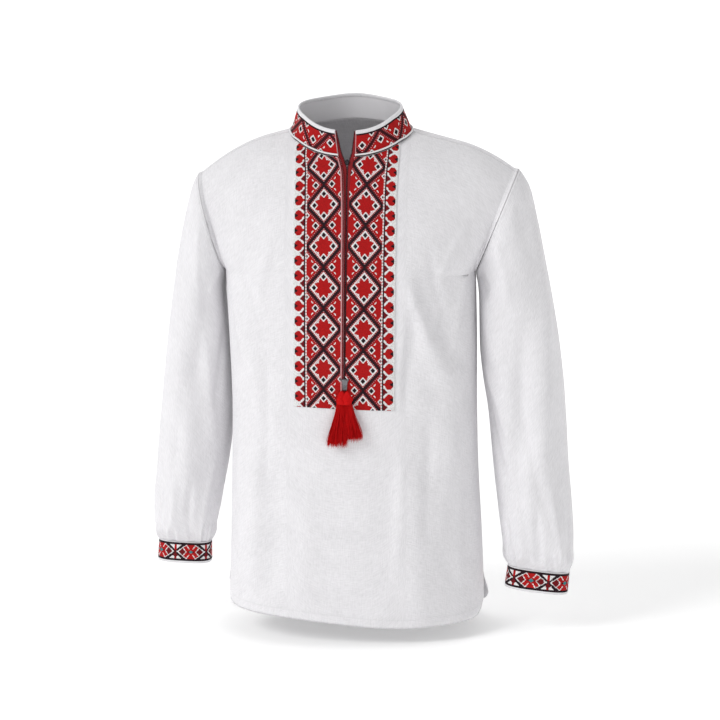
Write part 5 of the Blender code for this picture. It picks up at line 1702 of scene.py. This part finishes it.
def tassel_head(place, middle_y, seed):
    """Rings of the lumpy wound head, from its foot to its rounded top."""
    share = np.linspace(0.0, 1.0, HEAD_RINGS)[:, None]
    angle = 2 * math.pi * np.arange(HEAD_SIDES)[None, :] / HEAD_SIDES
    size = through(*zip(*TASSEL_HEAD_PROFILE), share)
    lumps = HEAD_LUMPS[0] * np.cos(3 * angle + 7 * share + seed)
    lumps = lumps + HEAD_LUMPS[1] * np.sin(2 * angle - 11 * share + 2 * seed)
    wound = HEAD_WINDING * np.cos(9 * angle + 60 * share)
    size = (HEAD_PLAINNESS + (1.0 - HEAD_PLAINNESS) * size) * (1.0 + lumps + wound)
    closed_foot = np.where(share < HEAD_CLOSED_BELOW, HEAD_FOOT_SIZE, 1.0)
    round_top = np.sqrt(np.clip((1.0 - share) / HEAD_ROUNDS_OVER, 0.0, 1.0) + 0.001)
    size = size * closed_foot * round_top
    x = place["head_x"] * HEAD_TOWARDS_MIDDLE + HEAD_HALF_WIDTH * size * np.cos(angle)
    y = middle_y + HEAD_HALF_DEPTH * size * np.sin(angle)
    z = TASSEL_HEAD_FOOT + share * (HEAD_TOP - TASSEL_HEAD_FOOT) + 0.0 * angle
    return np.stack([x, y, z], axis=-1)


def tassel_paths(name, place, middle_y, seed):
    """Paths of the threads: they fall from the head's foot, swing out and end unevenly."""
    chance = np.random.default_rng(seed)
    more_left, more_right, _ = SKIRT_EXTRA[name]
    radius = np.sqrt(chance.uniform(0.0, 1.0, TASSEL_THREADS))
    turn = chance.uniform(0.0, 2 * math.pi, TASSEL_THREADS)
    u = (radius * np.cos(turn))[:, None]
    v = (radius * np.sin(turn))[:, None]
    foot_z = place["foot_z"] + chance.normal(0.0, THREAD_ENDS, TASSEL_THREADS)[:, None]
    wave = chance.uniform(-1.0, 1.0, (2, TASSEL_THREADS, 1)) * THREAD_WAVE
    lag = chance.uniform(0.0, 6.0, (TASSEL_THREADS, 1))
    run = np.linspace(0.0, 1.0, THREAD_RINGS)[None, :]
    opened = smooth_step(run) * (1.0 - STRAND_STRAIGHT) + run * STRAND_STRAIGHT
    foot_left, foot_right = place["foot_left"] + more_left, place["foot_right"] + more_right
    foot_x, foot_half = (foot_left + foot_right) / 2, (foot_right - foot_left) / 2
    top_half_x = TASSEL_HALF_WIDTH * SKIRT_TOP_WIDTH
    top_half_y = TASSEL_HALF_DEPTH * SKIRT_TOP_DEPTH
    half_x = top_half_x + (foot_half - top_half_x) * opened
    half_y = top_half_y + (TASSEL_FOOT_HALF_DEPTH - top_half_y) * opened
    x = place["head_x"] + (foot_x - place["head_x"]) * opened + u * half_x
    x = x + wave[0] * np.sin(5 * run + lag) * run
    y = middle_y - (half_y - TASSEL_HALF_DEPTH) + v * half_y * SKIRT_DEPTH
    y = y + wave[1] * np.sin(4 * run + lag) * run
    z = TASSEL_HEAD_FOOT + THREAD_START_INSIDE + (foot_z - TASSEL_HEAD_FOOT) * run
    return np.stack([x, y, z + 0.0 * x], axis=-1)


def tassel(name, place, seed):
    """One tassel in front of the panel: its head, and a thin three-sided tube for every thread."""
    deepest = min(front_y(TASSEL_HEAD_TOP), front_y(TASSEL_HEAD_FOOT))
    middle_y = deepest - PANEL_CLOTH - 3 * SEAM_GAP - TASSEL_HALF_DEPTH + SKIRT_EXTRA[name][2]
    head = tassel_head(place, middle_y, seed)
    path = tassel_paths(name, place, middle_y, seed)
    corners = 2 * math.pi * np.arange(THREAD_SIDES) / THREAD_SIDES
    ring = np.stack([np.cos(corners), np.sin(corners), 0.0 * corners], axis=-1)
    size = np.full(THREAD_RINGS, THREAD_RADIUS)
    size[-1] = THREAD_RADIUS * THREAD_TIP
    threads = path[:, :, None] + ring[None, None] * size[None, :, None, None]
    head_faces = quads(HEAD_RINGS, HEAD_SIDES, True).reshape(-1, 4)
    one = quads(THREAD_RINGS, THREAD_SIDES, True).reshape(-1, 4)
    starts = HEAD_RINGS * HEAD_SIDES + np.arange(TASSEL_THREADS) * THREAD_RINGS * THREAD_SIDES
    thread_faces = (starts[:, None, None] + one).reshape(-1, 4)[:, ::-1]
    points = np.concatenate([head.reshape(-1, 3), threads.reshape(-1, 3)])
    piece = make(name + "_threads", points, np.concatenate([head_faces, thread_faces]), TASSEL)
    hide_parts(name)


# Topstitches: how far apart they are, their size, and how far they sink into the cloth
TOPSTITCH_PITCH = 0.0030
TOPSTITCH = (0.0024, 0.00032)
TOPSTITCH_SUNK = 0.0001


def white_stitches():
    """Every topstitch of the hems, side edges and cuffs."""
    places, aheads, outs = joined([at_even_steps(path, out, TOPSTITCH_PITCH) for path, out in STITCH_PATHS])
    beads("white_stitches", places - outs * TOPSTITCH_SUNK, aheads, outs, *TOPSTITCH, WHITE_THREAD)


# Studio: the floor's level, reach and curve up behind, the even sky and two lamps, each with its
# place, softness and strength
FLOOR_Z = -0.757
FLOOR_REACH = 60.0
FLOOR_BACK = 3.0
FLOOR_CURVE = 2.0
FLOOR_TOP = 7.0
FLOOR_BEND = (0.1, 1.57)
FLOOR_ROWS = (10, 14)
FLOOR_COLOUR = (0.93, 0.93, 0.93)
FLOOR_GLOW = 0.28
SKY = 0.47
LIGHTS = (
    ("key", (-2.5, -1.8, 2.4), 0.45, 1.25),
    ("fill", (0.5, -3.0, 0.7), 0.60, 0.20),
)
CAMERA_PLACE = (0.2692, -2.9518, 0.1173)
CAMERA_AIM = (0.011, 0.0, -0.352)
LENS = 100.0
SENSOR_WIDTH = 36.0


def pale_floor():
    """A pale floor that curves up behind."""
    flat = np.linspace(-FLOOR_REACH, FLOOR_BACK, FLOOR_ROWS[0])
    bend = np.linspace(*FLOOR_BEND, FLOOR_ROWS[1])
    run = np.concatenate([flat, FLOOR_BACK + FLOOR_CURVE * np.sin(bend), [FLOOR_BACK + FLOOR_CURVE]])
    rise = np.concatenate([np.zeros(len(flat)), FLOOR_CURVE * (1.0 - np.cos(bend)), [FLOOR_TOP]])
    wide = np.array([-FLOOR_REACH, FLOOR_REACH])
    points = np.stack(np.broadcast_arrays(wide, run[:, None], (FLOOR_Z + rise)[:, None]), axis=-1)
    look, _ = shader_of("pale_floor", 1.0, FLOOR_COLOUR, specular=0.0)
    shader_in(look).inputs["Emission Color"].default_value = (1.0, 1.0, 1.0, 1.0)
    shader_in(look).inputs["Emission Strength"].default_value = FLOOR_GLOW
    mesh = bpy.data.meshes.new("floor")
    mesh.from_pydata(points.reshape(-1, 3).tolist(), [], quads(len(run), 2).reshape(-1, 4).tolist())
    mesh.shade_smooth()
    mesh.materials.append(look)
    add_to_scene("floor", mesh)


def studio():
    """The floor, a large soft light from the front left, a weak one from the front, an even sky."""
    pale_floor()
    world = bpy.data.worlds.new("even_light")
    bpy.context.scene.world = world
    world.use_nodes = True
    world.node_tree.nodes["Background"].inputs["Color"].default_value = (1.0, 1.0, 1.0, 1.0)
    world.node_tree.nodes["Background"].inputs["Strength"].default_value = SKY
    for name, place, softness, strength in LIGHTS:
        lamp = bpy.data.lights.new(name, "SUN")
        lamp.angle = softness
        lamp.energy = strength
        thing = add_to_scene(name, lamp)
        thing.location = place
        thing.rotation_euler = Vector(place).to_track_quat("Z", "Y").to_euler()


def camera():
    """A long lens a little above and to the right of the shirt's front."""
    lens = bpy.data.cameras.new("camera")
    lens.lens = LENS
    lens.sensor_width = SENSOR_WIDTH
    thing = add_to_scene("camera", lens)
    thing.location = CAMERA_PLACE
    ahead = Vector(CAMERA_AIM) - Vector(CAMERA_PLACE)
    thing.rotation_euler = ahead.to_track_quat("-Z", "Y").to_euler()
    bpy.context.scene.camera = thing
    bpy.context.scene.view_settings.view_transform = "Standard"
    bpy.context.scene.view_settings.look = "None"


front_piece = front()
back_piece = back()
plastron_piece = plastron()
collar_piece = collar()
binding_piece = binding()
piping()
for side_name, side, folds, creases in (
    ("left", -1.0, LEFT_SLEEVE_FOLDS, LEFT_SLEEVE_CREASES),
    ("right", 1.0, RIGHT_SLEEVE_FOLDS, RIGHT_SLEEVE_CREASES),
):
    table = sleeve_table(side)
    sleeve("sleeve_" + side_name, table, folds, creases)
    cuff("cuff_" + side_name, table)
zip_pieces = zip_closure()
slider()
end_cap()
for seed, (name, sizes) in enumerate(TASSELS.items(), 21):
    tassel(name, dict(zip(TASSEL_COLUMNS, sizes)), seed)
white_stitches()

studio()
camera()
